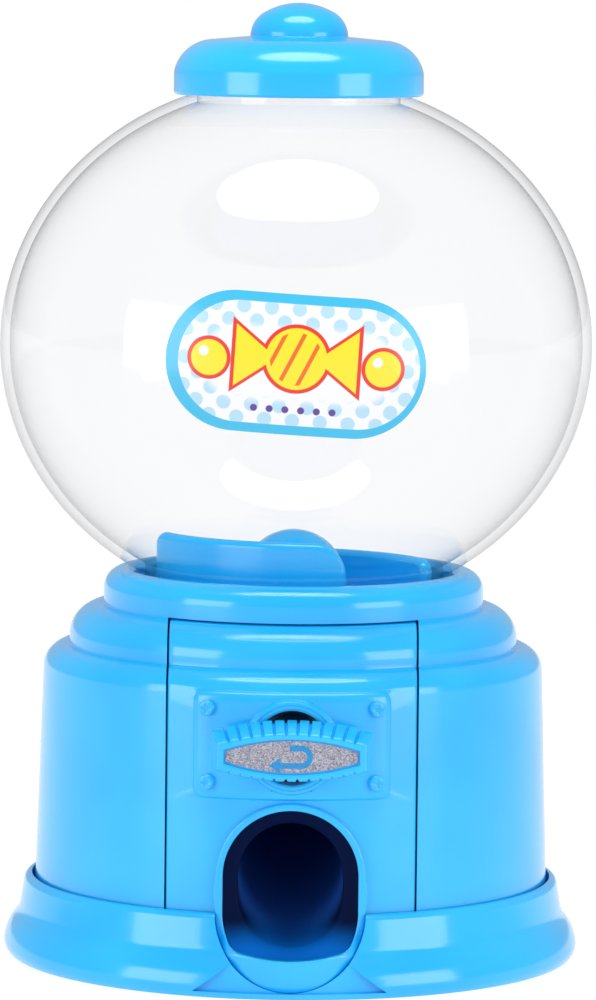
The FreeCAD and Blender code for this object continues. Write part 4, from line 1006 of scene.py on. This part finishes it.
class Skin:
    """A sheet that follows an outline of (radius, height) round the upright axis."""

    def __init__(self, points):
        keep = np.r_[True, np.hypot(*np.diff(points, axis=0).T) > MERGE]
        self.points = points[keep]
        self.lengths = np.r_[0, np.cumsum(np.hypot(*np.diff(self.points, axis=0).T))]
        run = np.gradient(self.points, self.lengths, axis=0)
        self.normals = np.stack([run[:, 1], -run[:, 0]], axis=1) / np.hypot(*run.T)[:, None]

    def along(self, height):
        """The length along the outline at which it first reaches a height."""
        return np.interp(height, self.points[:, 1], self.lengths)

    def at(self, x, along, rise=0.0):
        """Points at x, some way along the outline, raised along its normal.

        They lie forward by the root of the radius squared less x squared.
        """
        radius, height = (np.interp(along, self.lengths, part) for part in self.points.T)
        out, up = (np.interp(along, self.lengths, part) for part in self.normals.T)
        radius, height = radius + rise * out, height + rise * up
        x = np.broadcast_to(x, radius.shape)
        return np.stack([x, -np.sqrt(radius ** 2 - x ** 2), height], axis=-1)


def obround(radius, low, high):
    """An upright outline with half-round ends at the given centre heights."""
    return outline([
        (radius, low), (radius, high, radius), (0, high + radius, radius),
        (-radius, high), (-radius, low, radius), (0, low - radius, radius),
    ])


def panel_skin(drum):
    """The panel's curved front: the drum's outline up to its second tier, then flat under the slot's head."""
    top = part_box("front_panel")[1].z
    points = outline(drum_corners(drum)[:5], closed=False)
    shoulder = (np.interp(top, points[:, 1], points[:, 0]), top)
    end = (drum.ring_radius - drum.wall, top)
    return Skin(np.concatenate([points[points[:, 1] < top], [shoulder, end]]))


class Sheet:
    """The front panel's curved sheet, in zones that share their edges: mouth, plate, shoulder and sides.

    The mouth's and the plate's zones run in rays from a centre out to a rectangle. Each row is a curve
    between the two, laid on the skin, and the rows come back along the sheet's rear face.
    """

    # Numbers of points: across, along half the sole, up a side beside the mouth and the plate, along a ray
    ACROSS, SOLE, LOW_SIDE, HIGH_SIDE, RAY = 49, 8, 18, 14, 12
    # Numbers of points: over the shoulder, up a lap, round a long edge and on each way of the plate's outline
    SHOULDER, LAP, EDGE, PLATE = 40, 30, 5, 39
    # Numbers of rows: from the plate's step to the ring, and from the hole out along the rear
    INWARDS, OUTWARDS = 8, 6
    # How far the sheet goes in under the mouth's rim, and how far over the plate its zone ends
    HIDDEN, BROW = 0.5 * MM, 0.28 * MM
    # The step up to the plate: growth of the plate's outline in millimetres, and the share of its rise
    STEP = ((0.12, 0.0), (0.03, 0.1), (0.0, 0.3), (-0.14, 0.62), (-0.42, 0.84), (-0.85, 0.96), (-1.3, 1.0))
    # The ring's rounded, grooved front: shares of its thickness from the hole, and of its rise from the front
    RING = ((1, 0.45), (0.97, 0.2), (0.86, 0.06), (0.66, 0.04), (0.6, 0.12), (0.52, 0.12), (0.46, 0.02),
            (0.3, 0.0), (0.14, 0.03), (0.03, 0.15), (0, 0.4))
    # Width of the hollow at the ring's foot
    RING_FOOT = 0.25 * MM

    def __init__(self, drum, sizes, skin):
        self.drum, self.sizes, self.skin = drum, sizes, skin
        self.half = sizes.width / 2
        side = self.side = self.half - sizes.edge
        foot = self.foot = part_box("body_shell")[0].z
        outer = sizes.mouth_radius + sizes.rim
        self.hidden = outer - self.HIDDEN
        self.split = (sizes.mouth_arch + outer + KNOB_AXIS - sizes.plate_height / 2) / 2
        self.brow = KNOB_AXIS + sizes.plate_height / 2 + self.BROW
        self.across = np.linspace(side, -side, self.ACROSS)
        leave = math.sqrt(self.hidden ** 2 - (sizes.mouth_floor - foot) ** 2)
        sole = self.edge((leave, foot), (side, foot), self.SOLE)
        self.right = np.concatenate([sole, self.edge((side, foot), (side, self.split), self.LOW_SIDE)])
        self.upright = self.edge((side, self.split), (side, self.brow), self.HIGH_SIDE)
        climb = np.linspace(skin.along(self.brow), skin.lengths[-2], self.SHOULDER)
        self.over = np.r_[climb, skin.lengths[-1]]

    def edge(self, start, end, count):
        """Evenly spaced points between two corners, without the last."""
        return np.linspace(start, end, count, endpoint=False)

    def level(self, height):
        """Points across the sheet at a height, from its right to its left."""
        return np.stack([self.across, np.full(len(self.across), height)], axis=1)

    def laid(self, points, rise):
        """Points of (across, up) laid on the skin at a rise."""
        return self.skin.at(points[..., 0], self.skin.along(points[..., 1]), rise)

    def add_mouth(self, surface):
        """Rays from the panel's foot, its sides and the line over the mouth in to the mouth's rim."""
        sizes = self.sizes
        border = np.concatenate([self.right, self.level(self.split), self.right[::-1] * (-1, 1)])
        middle = np.array([0, (sizes.mouth_floor + sizes.mouth_arch) / 2])
        rays = border - middle
        angles, far = polar(rays)
        rim = obround(self.hidden, sizes.mouth_floor, sizes.mouth_arch)
        near = np.minimum(reach(rim, middle, angles), far)
        share = np.linspace(0, 1, self.RAY)[:, None, None]
        rows = middle + rays * (1 + share * ((near / far)[:, None] - 1))
        surface.grid(np.concatenate([self.laid(rows, 0), self.laid(rows[::-1], -self.drum.wall)]))

    def add_plate(self, surface):
        """Rays that step up to the plate and the ring, then go back through the ring's hole."""
        sizes, laid = self.sizes, self.laid
        wall, rise = self.drum.wall, sizes.plate_rise
        border = np.concatenate([
            self.upright,
            self.level(self.brow)[:-1],
            self.edge((-self.side, self.brow), (-self.side, self.split), self.HIGH_SIDE),
            (self.level(self.split) * (-1, 1))[:-1],
        ])
        middle = np.array([0, KNOB_AXIS])
        angles, far = polar(border - middle)
        unit = (border - middle) / far[:, None]

        def plate(grow):
            """The plate's outline, larger by grow, at the angles of the rays."""
            w, h = sizes.plate_width / 2 + grow, sizes.plate_height / 2 + grow
            points = outline([(w, -h), (w, h), (-w, h), (-w, -h)], sizes.plate_corner + grow)
            return middle + unit * reach(dense(points, self.PLATE), np.zeros(2), angles)[:, None]

        def ring(radius):
            """A circle round the shaft at the angles of the rays."""
            return middle + unit * radius

        rows = [laid(border, 0)] + [laid(plate(grow * MM), rise * part) for grow, part in self.STEP]
        inner, ring_foot = plate(self.STEP[-1][0] * MM), ring(sizes.ring_radius + self.RING_FOOT)
        parts = np.linspace(0, 1, self.INWARDS)[1:]
        rows += [laid(inner + (ring_foot - inner) * part, rise) for part in parts]
        front = laid(middle[None, :], rise)[0, 1] - sizes.ring_rise
        thick = sizes.ring_radius - sizes.ring_hole
        for part, back in self.RING:
            rows.append(at_depth(ring(sizes.ring_hole + thick * part), front + back * sizes.ring_rise))
        hole = ring(sizes.ring_hole)
        rows += [laid(hole + (border - hole) * part, -wall) for part in np.linspace(0, 1, self.OUTWARDS)]
        surface.grid(np.stack(rows), False, True)

    def add_shoulder(self, surface):
        """Rows that go over the tier and under the slot's head."""
        along = np.broadcast_to(self.over[:, None], (len(self.over), len(self.across)))
        front, back = (self.skin.at(self.across[None, :], along, rise) for rise in (0, -self.drum.wall))
        surface.grid(np.concatenate([front, back[::-1]]))

    def add_sides(self, surface):
        """The rounded long edges, the sole and the laps behind the drum's wall, on both hands."""
        sizes, skin, laid = self.sizes, self.skin, self.laid
        wall, half, lap = self.drum.wall, self.half, self.sizes.lap
        beside = np.r_[self.right[self.SOLE:, 1], self.upright[:, 1]]
        climb = np.concatenate([skin.along(beside), self.over])
        bend = np.linspace(0, math.pi / 2, self.EDGE)
        out = np.r_[self.side + sizes.edge * np.sin(bend), half, self.side]
        sunk = np.r_[-sizes.edge * (1 - np.cos(bend)), -wall, -wall]
        near = self.drum.slot - half
        far = near + sizes.lap_wall
        lap_climb = np.linspace(skin.along(self.foot), skin.along(self.drum.top), self.LAP)
        lap_corners = ((half - lap, near), (half + lap, near), (half + lap, far), (half - lap, far))
        for hand in (1, -1):
            strip = np.stack([skin.at(hand * x, climb, depth) for x, depth in zip(out, sunk)])
            surface.grid(strip).cap(strip[:, 0]).cap(strip[:, -1])
            sole = self.right[:self.SOLE + 1] * (hand, 1)
            surface.grid(np.stack([laid(sole, 0), laid(sole, -wall)]))
            rows = np.stack([skin.at(hand * x, lap_climb, -wall - depth) for x, depth in lap_corners])
            surface.grid(rows, True, False).cap(rows[:, 0]).cap(rows[:, -1])


class Mouth:
    """The mouth's rim, the scoop and the funnel behind them, on rays from the mouth's middle.

    The scoop is a bowl turned about an upright axis behind its front. The front face follows the rim, or
    the bowl where that is further out, with an eased change between them.
    """

    # Numbers of rays, of points on each way of the opening's outline, and of rows round a softened edge
    RAYS, OPENING, BEND = 176, 23, 6
    # Numbers of rows across the front face and along the funnel
    FACE, FUNNEL = 12, 16
    # Reach of the eased change from rim to bowl, and rounding of the front face's edges
    EASE, EDGE = 1.2 * MM, 0.28 * MM
    # Rounding of the lip's corners, and the share of its sag that lies over the lip's height
    CORNER, SAG_OVER = 1.1 * MM, 0.6
    # How far behind the lip the throat opens to its full size and the funnel begins
    THROAT_BACK, FUNNEL_BACK = 0.4 * MM, 0.6 * MM
    # The funnel's gap to what it lines, and its thickness
    FUNNEL_GAP, FUNNEL_WALL = 0.1 * MM, 0.2 * MM

    def __init__(self, sizes, skin):
        self.sizes, self.skin = sizes, skin
        self.ends = sizes.mouth_floor, sizes.mouth_arch
        self.middle = np.array([0, sum(self.ends) / 2])
        self.angles = full_turn(self.RAYS)
        self.unit = np.stack([np.cos(self.angles), np.sin(self.angles)], axis=1)
        self.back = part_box("chute")[0].y - sizes.edge
        self.full = self.on_rays(obround(sizes.mouth_radius, *self.ends))
        self.outer = self.on_rays(obround(sizes.mouth_radius + sizes.rim, *self.ends))
        self.lip = self.on_rays(self.opening())
        self.bowl = outline([
            (sizes.bowl - sizes.bowl_tuck, 0, sizes.bowl),
            (sizes.bowl, sizes.lip),
            (sizes.bowl - sizes.bowl_lean, sizes.mouth_arch),
        ], closed=False)

    def on_rays(self, points):
        """Where the rays cross an outline, as offsets from the middle."""
        return self.unit * reach(points, self.middle, self.angles)[:, None]

    def opening(self):
        """The mouth's outline with the lip as its floor: a sagging arc with softened corners."""
        low, arch = self.ends
        r, lip_sag = self.sizes.mouth_radius, self.sizes.lip_sag
        floor = self.sizes.lip + self.SAG_OVER * lip_sag
        corner = math.sqrt(r ** 2 - (low - floor) ** 2)
        sag = (corner ** 2 / lip_sag + lip_sag) / 2
        return dense(outline([
            (corner, floor, r, self.CORNER), (r, low), (r, arch, r), (0, arch + r, r),
            (-r, arch), (-r, low, r), (-corner, floor, sag, self.CORNER),
        ]), self.OPENING)

    def front(self, points):
        """Where the front face lies at points of (across, up).

        It is the smaller of the scoop's and the rim's y. Within the reach of the change it is their mix,
        less a term that is largest halfway.
        """
        sizes, skin = self.sizes, self.skin
        x, z = points[:, 0], points[:, 1]
        slope = sizes.bowl_lean / (sizes.mouth_arch - sizes.lip)
        wide = np.interp(z, self.bowl[:, 1], self.bowl[:, 0])
        wide = wide - slope * np.maximum(z - sizes.mouth_arch, 0)
        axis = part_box("front_panel")[0].y + sizes.bowl
        scoop = axis - np.sqrt(np.maximum(wide ** 2 - x ** 2, 0))
        rim = skin.at(x, skin.along(z), sizes.rim_rise)[:, 1]
        share = np.clip(0.5 + (scoop - rim) / self.EASE, 0, 1)
        return scoop + (rim - scoop) * share - self.EASE / 2 * share * (1 - share)

    def row(self, offset, depth):
        """A ring of points at an offset from the middle and a depth behind the front face."""
        points = self.middle + offset
        return at_depth(points, self.front(points) + depth)

    def add_rim(self, surface):
        """Rows over the rounded front face from the outside in, back behind the lip, and round the rear."""
        row, unit, edge, outer, lip, full = self.row, self.unit, self.EDGE, self.outer, self.lip, self.full
        bend = np.linspace(0, math.pi / 2, self.BEND)
        inset = unit * np.minimum(edge, np.hypot(*(outer - lip).T)[:, None] / 3)
        start, end = outer - unit * edge, lip + inset
        rows = [row(outer - unit * edge * (1 - np.cos(t)), edge * (1 - np.sin(t))) for t in bend]
        rows += [row(start + (end - start) * part, 0) for part in np.linspace(0, 1, self.FACE)[1:-1]]
        rows += [row(lip + inset * (1 - np.sin(t)), edge * (1 - np.cos(t))) for t in bend]
        rows += [row(lip, self.sizes.rim), row(full, self.sizes.rim + self.THROAT_BACK)]
        rows += [at_depth(self.middle + offset, self.back) for offset in (full, outer)]
        surface.grid(np.stack(rows), True, True)

    def funnel(self):
        """A thin funnel from behind the lip to the chute's trough, level with both at its ends."""
        sizes, gap = self.sizes, self.unit * self.FUNNEL_GAP
        trough = obround(sizes.throat_radius, sizes.throat_floor + sizes.throat_radius, sizes.mouth_arch)
        start = self.row((self.lip + self.full) / 2 - gap, sizes.rim + self.FUNNEL_BACK)
        end = at_depth(self.middle + self.on_rays(trough) - gap, self.back)
        parts = np.linspace(0, 1, self.FUNNEL)
        eased = parts ** 2 * (3 - 2 * parts)
        inside = [start + (end - start) * share for share in np.stack([eased, parts, eased], axis=1)]
        outwards = at_depth(self.unit, 0) * self.FUNNEL_WALL
        outside = [points + outwards for points in inside[::-1]]
        return Surface().grid(np.stack(inside + outside), True, True)


def add_studs(surface, sizes, skin):
    """Four moulded studs on the plate, each a low turned button with a cross mark pressed into its top.

    The button's profile is given in shares of its radius and its rise.
    """
    radius, rise = sizes.stud_radius, sizes.stud_rise
    flat_top = [(share, 1) for share in (0, 0.1, 0.2, 0.3, 0.4, 0.52, 0.66)]
    round_side = [(0.8, 0.98), (0.92, 0.9), (0.99, 0.75), (1, 0.5), (1, -0.6)]
    profile = np.array(flat_top + round_side) * (radius, rise)
    mark_half, mark_end, mark_depth = 0.13 * radius, 0.6 * radius, 0.09 * MM
    turns = full_turn(40)[:, None]
    a, b = profile[:, 0] * np.cos(turns), profile[:, 0] * np.sin(turns)
    mark = (np.minimum(abs(a), abs(b)) < mark_half) & (np.hypot(a, b) < mark_end)
    lift = profile[:, 1] - mark_depth * mark
    for x in (-sizes.stud_wide / 2, sizes.stud_wide / 2):
        for z in (-sizes.stud_high / 2, sizes.stud_high / 2):
            along = skin.along(np.array([KNOB_AXIS + z]))
            centre = skin.at(np.array([x]), along, sizes.plate_rise)[0]
            out = np.array([centre[0], centre[1], 0]) / math.hypot(centre[0], centre[1])
            beside = np.array([-out[1], out[0], 0])
            points = centre + a[..., None] * beside + b[..., None] * (0, 0, 1) + lift[..., None] * out
            surface.grid(points, True, False).cap(points[:, -1])


def rotor_levels(sizes):
    """Heights of the bearing's seat and of the turning disc's underside and top."""
    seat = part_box("hopper_floor")[1].z
    under = seat + sizes.boss_height
    return seat, under, under + sizes.disc


def rotor_surface(sizes):
    """The turning floor without its walls: a tail, a journal, a boss, the disc and a domed hub, turned."""
    low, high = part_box("feed_wheel")
    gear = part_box("driven_gear")[1].z
    seat, under, top = rotor_levels(sizes)
    return Surface().turned(outline([
        (0, low.z), (sizes.tail, low.z), (sizes.tail, gear), (sizes.journal, gear), (sizes.journal, seat),
        (sizes.boss, seat), (sizes.boss, under),
        (high.x, under, 0, sizes.low_edge), (high.x, top, 0, sizes.top_edge),
        (sizes.hub, top, 0, sizes.hub_foot), (sizes.hub, high.z - sizes.hub, sizes.hub), (0, high.z),
    ], closed=False), count=128)


def rotor_pockets(sizes):
    """The two round pockets that go through the disc, across from each other."""
    _, under, top = rotor_levels(sizes)
    tube = [(sizes.pocket, under - PAST), (sizes.pocket, top + PAST)]
    turn = sizes.pocket_angle
    place = sizes.pocket_ring * np.array([math.cos(turn), -math.sin(turn), 0])
    return [hole_cutter(tube, side * place, count=64) for side in (1, -1)]


def rotor_walls(sizes):
    """The two swept walls on the disc, a tall one and a low one.

    A wall is a section carried along an arc. The section has upright sides and a round top, its width
    falls to nothing over a half-round at each end, and its top falls off there by a larger round.
    """
    _, under, top = rotor_levels(sizes)
    bend, steps, section = sizes.arm_curve, 90, 14
    start, end = (math.asin((x - sizes.arm_offset) / bend) for x in (-sizes.arm_end, sizes.arm_tip))
    turns = start + (end - start) * (1 - np.cos(np.linspace(0, math.pi, steps))) / 2
    outer, tip = (turns - start) * bend, (end - turns) * bend
    arch = np.linspace(0, math.pi, section)
    across = np.concatenate([[-1], -np.cos(arch), [1]])
    lift = sizes.arm_half * (np.sin(arch) - 1)
    feet = np.full((steps, 1), under)

    def round_off(gap, radius):
        """How far a quarter round of the given radius falls off at a gap from its end."""
        return radius - np.sqrt(radius ** 2 - np.clip(radius - gap, 0, radius) ** 2)

    half = sizes.arm_half - round_off(np.minimum(outer, tip), sizes.arm_half)
    away = bend + half[:, None] * across
    x = sizes.arm_offset + away * np.sin(turns)[:, None]
    y = bend - sizes.arm_front - away * np.cos(turns)[:, None]
    walls = Surface()
    for side, rise in ((1, sizes.tall), (-1, sizes.low)):
        crest = top + rise - round_off(outer, sizes.end_round)
        crest -= round_off(tip, sizes.tip_round * rise / sizes.tall)
        z = np.concatenate([feet, crest[:, None] + lift, feet], axis=1)
        walls.grid(np.stack([side * x, side * y, z], axis=-1), False, True)
    return walls


def knob_surface(sizes):
    """The knob: a lens outline with grooved long sides, tapered, with a rounded front rim and a sunk face.

    Along a long side the outline is an arc, sunk at each groove by an eased notch. The other long side is
    the same, half a turn round. A row is an outline with its growth, its depth behind the front and the
    share of the grooves' depth, with lengths in millimetres.
    """
    low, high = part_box("knob")
    front, depth = low.y, high.y - low.y
    per_ridge, flat_share, ease_share, plain_ends = 14, 0.72, 0.2, 3
    count = per_ridge * sizes.ridges + 1
    place = np.linspace(-1, 1, count)
    from_ridge = abs((place + 1) / 2 * sizes.ridges % 1 - 0.5) * 2
    notch = np.clip((from_ridge - flat_share) / ease_share, 0, 1)
    notch = notch * notch * (3 - 2 * notch)
    notch[:plain_ends] = notch[-plain_ends:] = 0

    def ring(grow, back, share):
        """The outline at one depth, larger by grow, with its grooves sunk by a share."""
        half, middle, end = (part / 2 + grow for part in (sizes.width, sizes.height, sizes.end_height))
        bulge = middle - end
        bend = (half * half + bulge * bulge) / (2 * bulge)
        turn = place * math.asin(half / bend)
        arm = bend - share * sizes.groove * notch
        x, z = arm * np.sin(turn), middle - bend + arm * np.cos(turn)
        return at_depth(np.stack([np.r_[x, -x], KNOB_AXIS + np.r_[z, -z]], axis=1), front + back)

    rear = ((-0.3, 0.0, 0.9), (-0.05, -0.1, 1.0))
    sides = (0.96, 0.7, 0.4, 0.15)
    round_rim = (
        (0.02, 0.5, 1.0), (-0.03, 0.28, 0.9), (-0.12, 0.1, 0.62), (-0.26, 0.02, 0.3), (-0.42, 0.0, 0.1)
    )
    inner_rim = ((0.16, 0.0), (0.04, 0.04), (0.0, 0.16))
    rows = [ring(sizes.taper + grow * MM, depth + back * MM, share) for grow, back, share in rear]
    rows += [ring(sizes.taper * part, depth * part, 1.0) for part in sides]
    rows += [ring(grow * MM, back * MM, share) for grow, back, share in round_rim]
    rows += [ring(grow * MM - sizes.rim, back * MM, 0) for grow, back in inner_rim]
    rows.append(ring(-sizes.rim, sizes.sink, 0))
    return Surface().tube(np.stack(rows))


# Studio


def light_surround(scene):
    """A white surround that lights the machine with half of the strength that the camera sees."""
    world = bpy.data.worlds.new("studio")
    scene.world = world
    world.use_nodes = True
    tree = world.node_tree
    sky = tree.nodes["Background"]
    sky.inputs["Color"].default_value = (1, 1, 1, 1)
    path = tree.nodes.new("ShaderNodeLightPath")
    level = tree.nodes.new("ShaderNodeMapRange")
    level.inputs["To Min"].default_value = 0.5
    level.inputs["To Max"].default_value = 1.0
    tree.links.new(path.outputs["Is Camera Ray"], level.inputs["Value"])
    tree.links.new(level.outputs["Result"], sky.inputs["Strength"])


def lay_floor(scene):
    """A wide floor that glows by itself, so that it stays nearly white."""
    far = 4.0
    floor = Surface().cap([(-far, -far, 0), (far, -far, 0), (far, far, 0), (-far, far, 0)])
    thing = bpy.data.objects.new("floor", make_mesh("floor", floor))
    scene.collection.objects.link(thing)
    paper = Finish("pale_floor")
    thing.data.materials.append(paper.done(paper.principled({
        "Base Color": (0.1, 0.1, 0.1, 1),
        "Roughness": 0.6,
        "Emission Color": (1, 1, 1, 1),
        "Emission Strength": 0.9,
    })))


def hang_lamp(scene, name, shape, spot, aim, size, power):
    """A soft area lamp at a spot, turned towards its aim."""
    light = bpy.data.lights.new(name, "AREA")
    light.shape = shape
    light.size, light.size_y = size
    light.energy = power
    lamp = bpy.data.objects.new(name, light)
    scene.collection.objects.link(lamp)
    lamp.location = spot
    lamp.rotation_euler = (Vector(aim) - Vector(spot)).to_track_quat("-Z", "Y").to_euler()


def set_camera(scene):
    """The camera at the photograph's viewing angle, with its slight roll."""
    eye, target, roll = Vector((0, -0.827, 0.147)), Vector((0, 0, 0.067)), math.radians(0.6)
    lens = bpy.data.cameras.new("camera")
    lens.lens = 202.8
    lens.sensor_width = 36
    lens.shift_x = 0.0035
    camera = bpy.data.objects.new("camera", lens)
    scene.collection.objects.link(camera)
    turn = (target - eye).to_track_quat("-Z", "Y").to_matrix().to_4x4()
    camera.matrix_world = Matrix.Translation(eye) @ turn @ Matrix.Rotation(roll, 4, "Z")
    scene.camera = camera


# Operators


class MakeGlobe(bpy.types.Operator):
    """Make the clear globe as one smooth wall, turned from its outline"""

    bl_idname = "candy.globe"
    bl_label = "Globe"

    def execute(self, context):
        profile = globe_outline(context.scene.candy_machine.globe)
        surface = Surface().turned(profile, count=160, closed=True)
        make_piece("globe_shell", surface, "root", "clear_plastic", ["globe"])
        return {"FINISHED"}


class MakeLid(bpy.types.Operator):
    """Make the lid with its finial, turned from its outline"""

    bl_idname = "candy.lid"
    bl_label = "Lid"

    def execute(self, context):
        profile = lid_outline(context.scene.candy_machine.lid)
        surface = Surface().turned(profile, count=128, closed=True)
        make_piece("lid_shell", surface, "lid", "blue_plastic", ["lid"])
        return {"FINISHED"}


class MakeBodyShell(bpy.types.Operator):
    """Make the drum with its tiers, collar and front slot"""

    bl_idname = "candy.body_shell"
    bl_label = "Body shell"

    def execute(self, context):
        surface = shell_surface(context.scene.candy_machine.drum)
        make_piece("drum_shell", surface, "root", "blue_plastic", ["body_shell"])
        return {"FINISHED"}


class MakeStand(bpy.types.Operator):
    """Make the round stand with its notch, flats and screw holes"""

    bl_idname = "candy.stand"
    bl_label = "Stand"

    def execute(self, context):
        machine = context.scene.candy_machine
        cutters = stand_cutters(machine.stand, machine.panel)
        surface = stand_surface(machine.stand)
        make_piece("stand", surface, "root", "blue_plastic", ["base"], cutters=cutters)
        return {"FINISHED"}


class MakeFrontPanel(bpy.types.Operator):
    """Make the fitted front panel with its plate, ring, studs, mouth and scoop, and the throat's lining"""

    bl_idname = "candy.front_panel"
    bl_label = "Front panel"

    def execute(self, context):
        machine = context.scene.candy_machine
        skin = panel_skin(machine.drum)
        sheet, mouth = Sheet(machine.drum, machine.panel, skin), Mouth(machine.panel, skin)
        surface = Surface()
        for add in (sheet.add_mouth, sheet.add_plate, sheet.add_shoulder, sheet.add_sides, mouth.add_rim):
            add(surface)
        add_studs(surface, machine.panel, skin)
        # The door's finish and the throat lining's finish hold painted light and shade inside the mouth.
        make_piece("door", surface, "root", "door_plastic", ["front_panel"])
        make_piece("throat_liner", mouth.funnel(), "root", "chute_plastic")
        return {"FINISHED"}


class MakeKnob(bpy.types.Operator):
    """Make the ridged knob with its rounded rim and sunk face"""

    bl_idname = "candy.knob"
    bl_label = "Knob"

    def execute(self, context):
        surface = knob_surface(context.scene.candy_machine.knob)
        make_piece("grip", surface, "knob", "blue_plastic", ["knob"])
        return {"FINISHED"}


class MakeRotor(bpy.types.Operator):
    """Make the turning floor with its hub, walls and pockets"""

    bl_idname = "candy.rotor"
    bl_label = "Turning floor"

    def execute(self, context):
        sizes = context.scene.candy_machine.rotor
        pockets, walls = rotor_pockets(sizes), rotor_walls(sizes)
        make_piece(
            "rotor", rotor_surface(sizes), "feed_wheel", "blue_plastic", ["feed_wheel"],
            cutters=pockets, added=walls,
        )
        return {"FINISHED"}


class DressNodes(bpy.types.Operator):
    """Give the machine's other parts their finishes"""

    bl_idname = "candy.nodes"
    bl_label = "Other parts"

    def execute(self, context):
        finishes = {
            "blue_plastic": ["hopper_floor"],
            # The chute's finish holds painted light and shade.
            "chute_plastic": ["chute"],
            "gear_plastic": ["drive_shaft", "driven_gear", "shaft_bracket"],
            "screw_steel": [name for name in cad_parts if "screw" in name],
            "label_print": ["globe_label"],
            "glitter_foil": ["knob_label"],
        }
        for finish, names in finishes.items():
            for name in names:
                dress_node(name, finish)
        return {"FINISHED"}


class MakeStage(bpy.types.Operator):
    """Make the pale floor, the soft lights and the camera"""

    bl_idname = "candy.stage"
    bl_label = "Studio"

    def execute(self, context):
        scene = context.scene
        scene.view_settings.view_transform = "Standard"
        light_surround(scene)
        lay_floor(scene)
        hang_lamp(scene, "overhead", "ELLIPSE", (0, -0.12, 0.65), aim=(0, 0, 0.1), size=(0.5, 0.3), power=2.2)
        for name, across in (("left", -0.6), ("right", 0.6)):
            spot = (across, -0.46, 0.15)
            hang_lamp(scene, name, "RECTANGLE", spot, aim=(0, 0, 0.07), size=(0.42, 0.4), power=1.9)
        set_camera(scene)
        return {"FINISHED"}


class MachinePanel(bpy.types.Panel):
    """Lists the machine's pieces and their sizes in the sidebar"""

    bl_idname = "VIEW3D_PT_candy_machine"
    bl_label = "Candy machine"
    bl_space_type = "VIEW_3D"
    bl_region_type = "UI"
    bl_category = "Candy machine"

    def draw(self, context):
        sizes = context.scene.candy_machine
        for operator in OPERATORS:
            self.layout.operator(operator.bl_idname)
        for name, group in SIZE_GROUPS.items():
            box = self.layout.box()
            box.label(text=name.replace("_", " ").capitalize())
            for key in group.__annotations__:
                box.prop(getattr(sizes, name), key)


OPERATORS = (
    MakeGlobe, MakeLid, MakeBodyShell, MakeStand, MakeFrontPanel, MakeKnob, MakeRotor, DressNodes, MakeStage,
)
CLASSES = (*SIZE_GROUPS.values(), MachineSizes, *OPERATORS, MachinePanel)


def register():
    for kind in CLASSES:
        bpy.utils.register_class(kind)
    bpy.types.Scene.candy_machine = PointerProperty(type=MachineSizes)


def unregister():
    del bpy.types.Scene.candy_machine
    for kind in reversed(CLASSES):
        bpy.utils.unregister_class(kind)


def main():
    """Build the looks piece by piece."""
    register()
    bpy.ops.candy.globe()
    bpy.ops.candy.lid()
    bpy.ops.candy.body_shell()
    bpy.ops.candy.stand()
    bpy.ops.candy.front_panel()
    bpy.ops.candy.knob()
    bpy.ops.candy.rotor()
    bpy.ops.candy.nodes()
    bpy.ops.candy.stage()


if __name__ == "__main__":
    main()
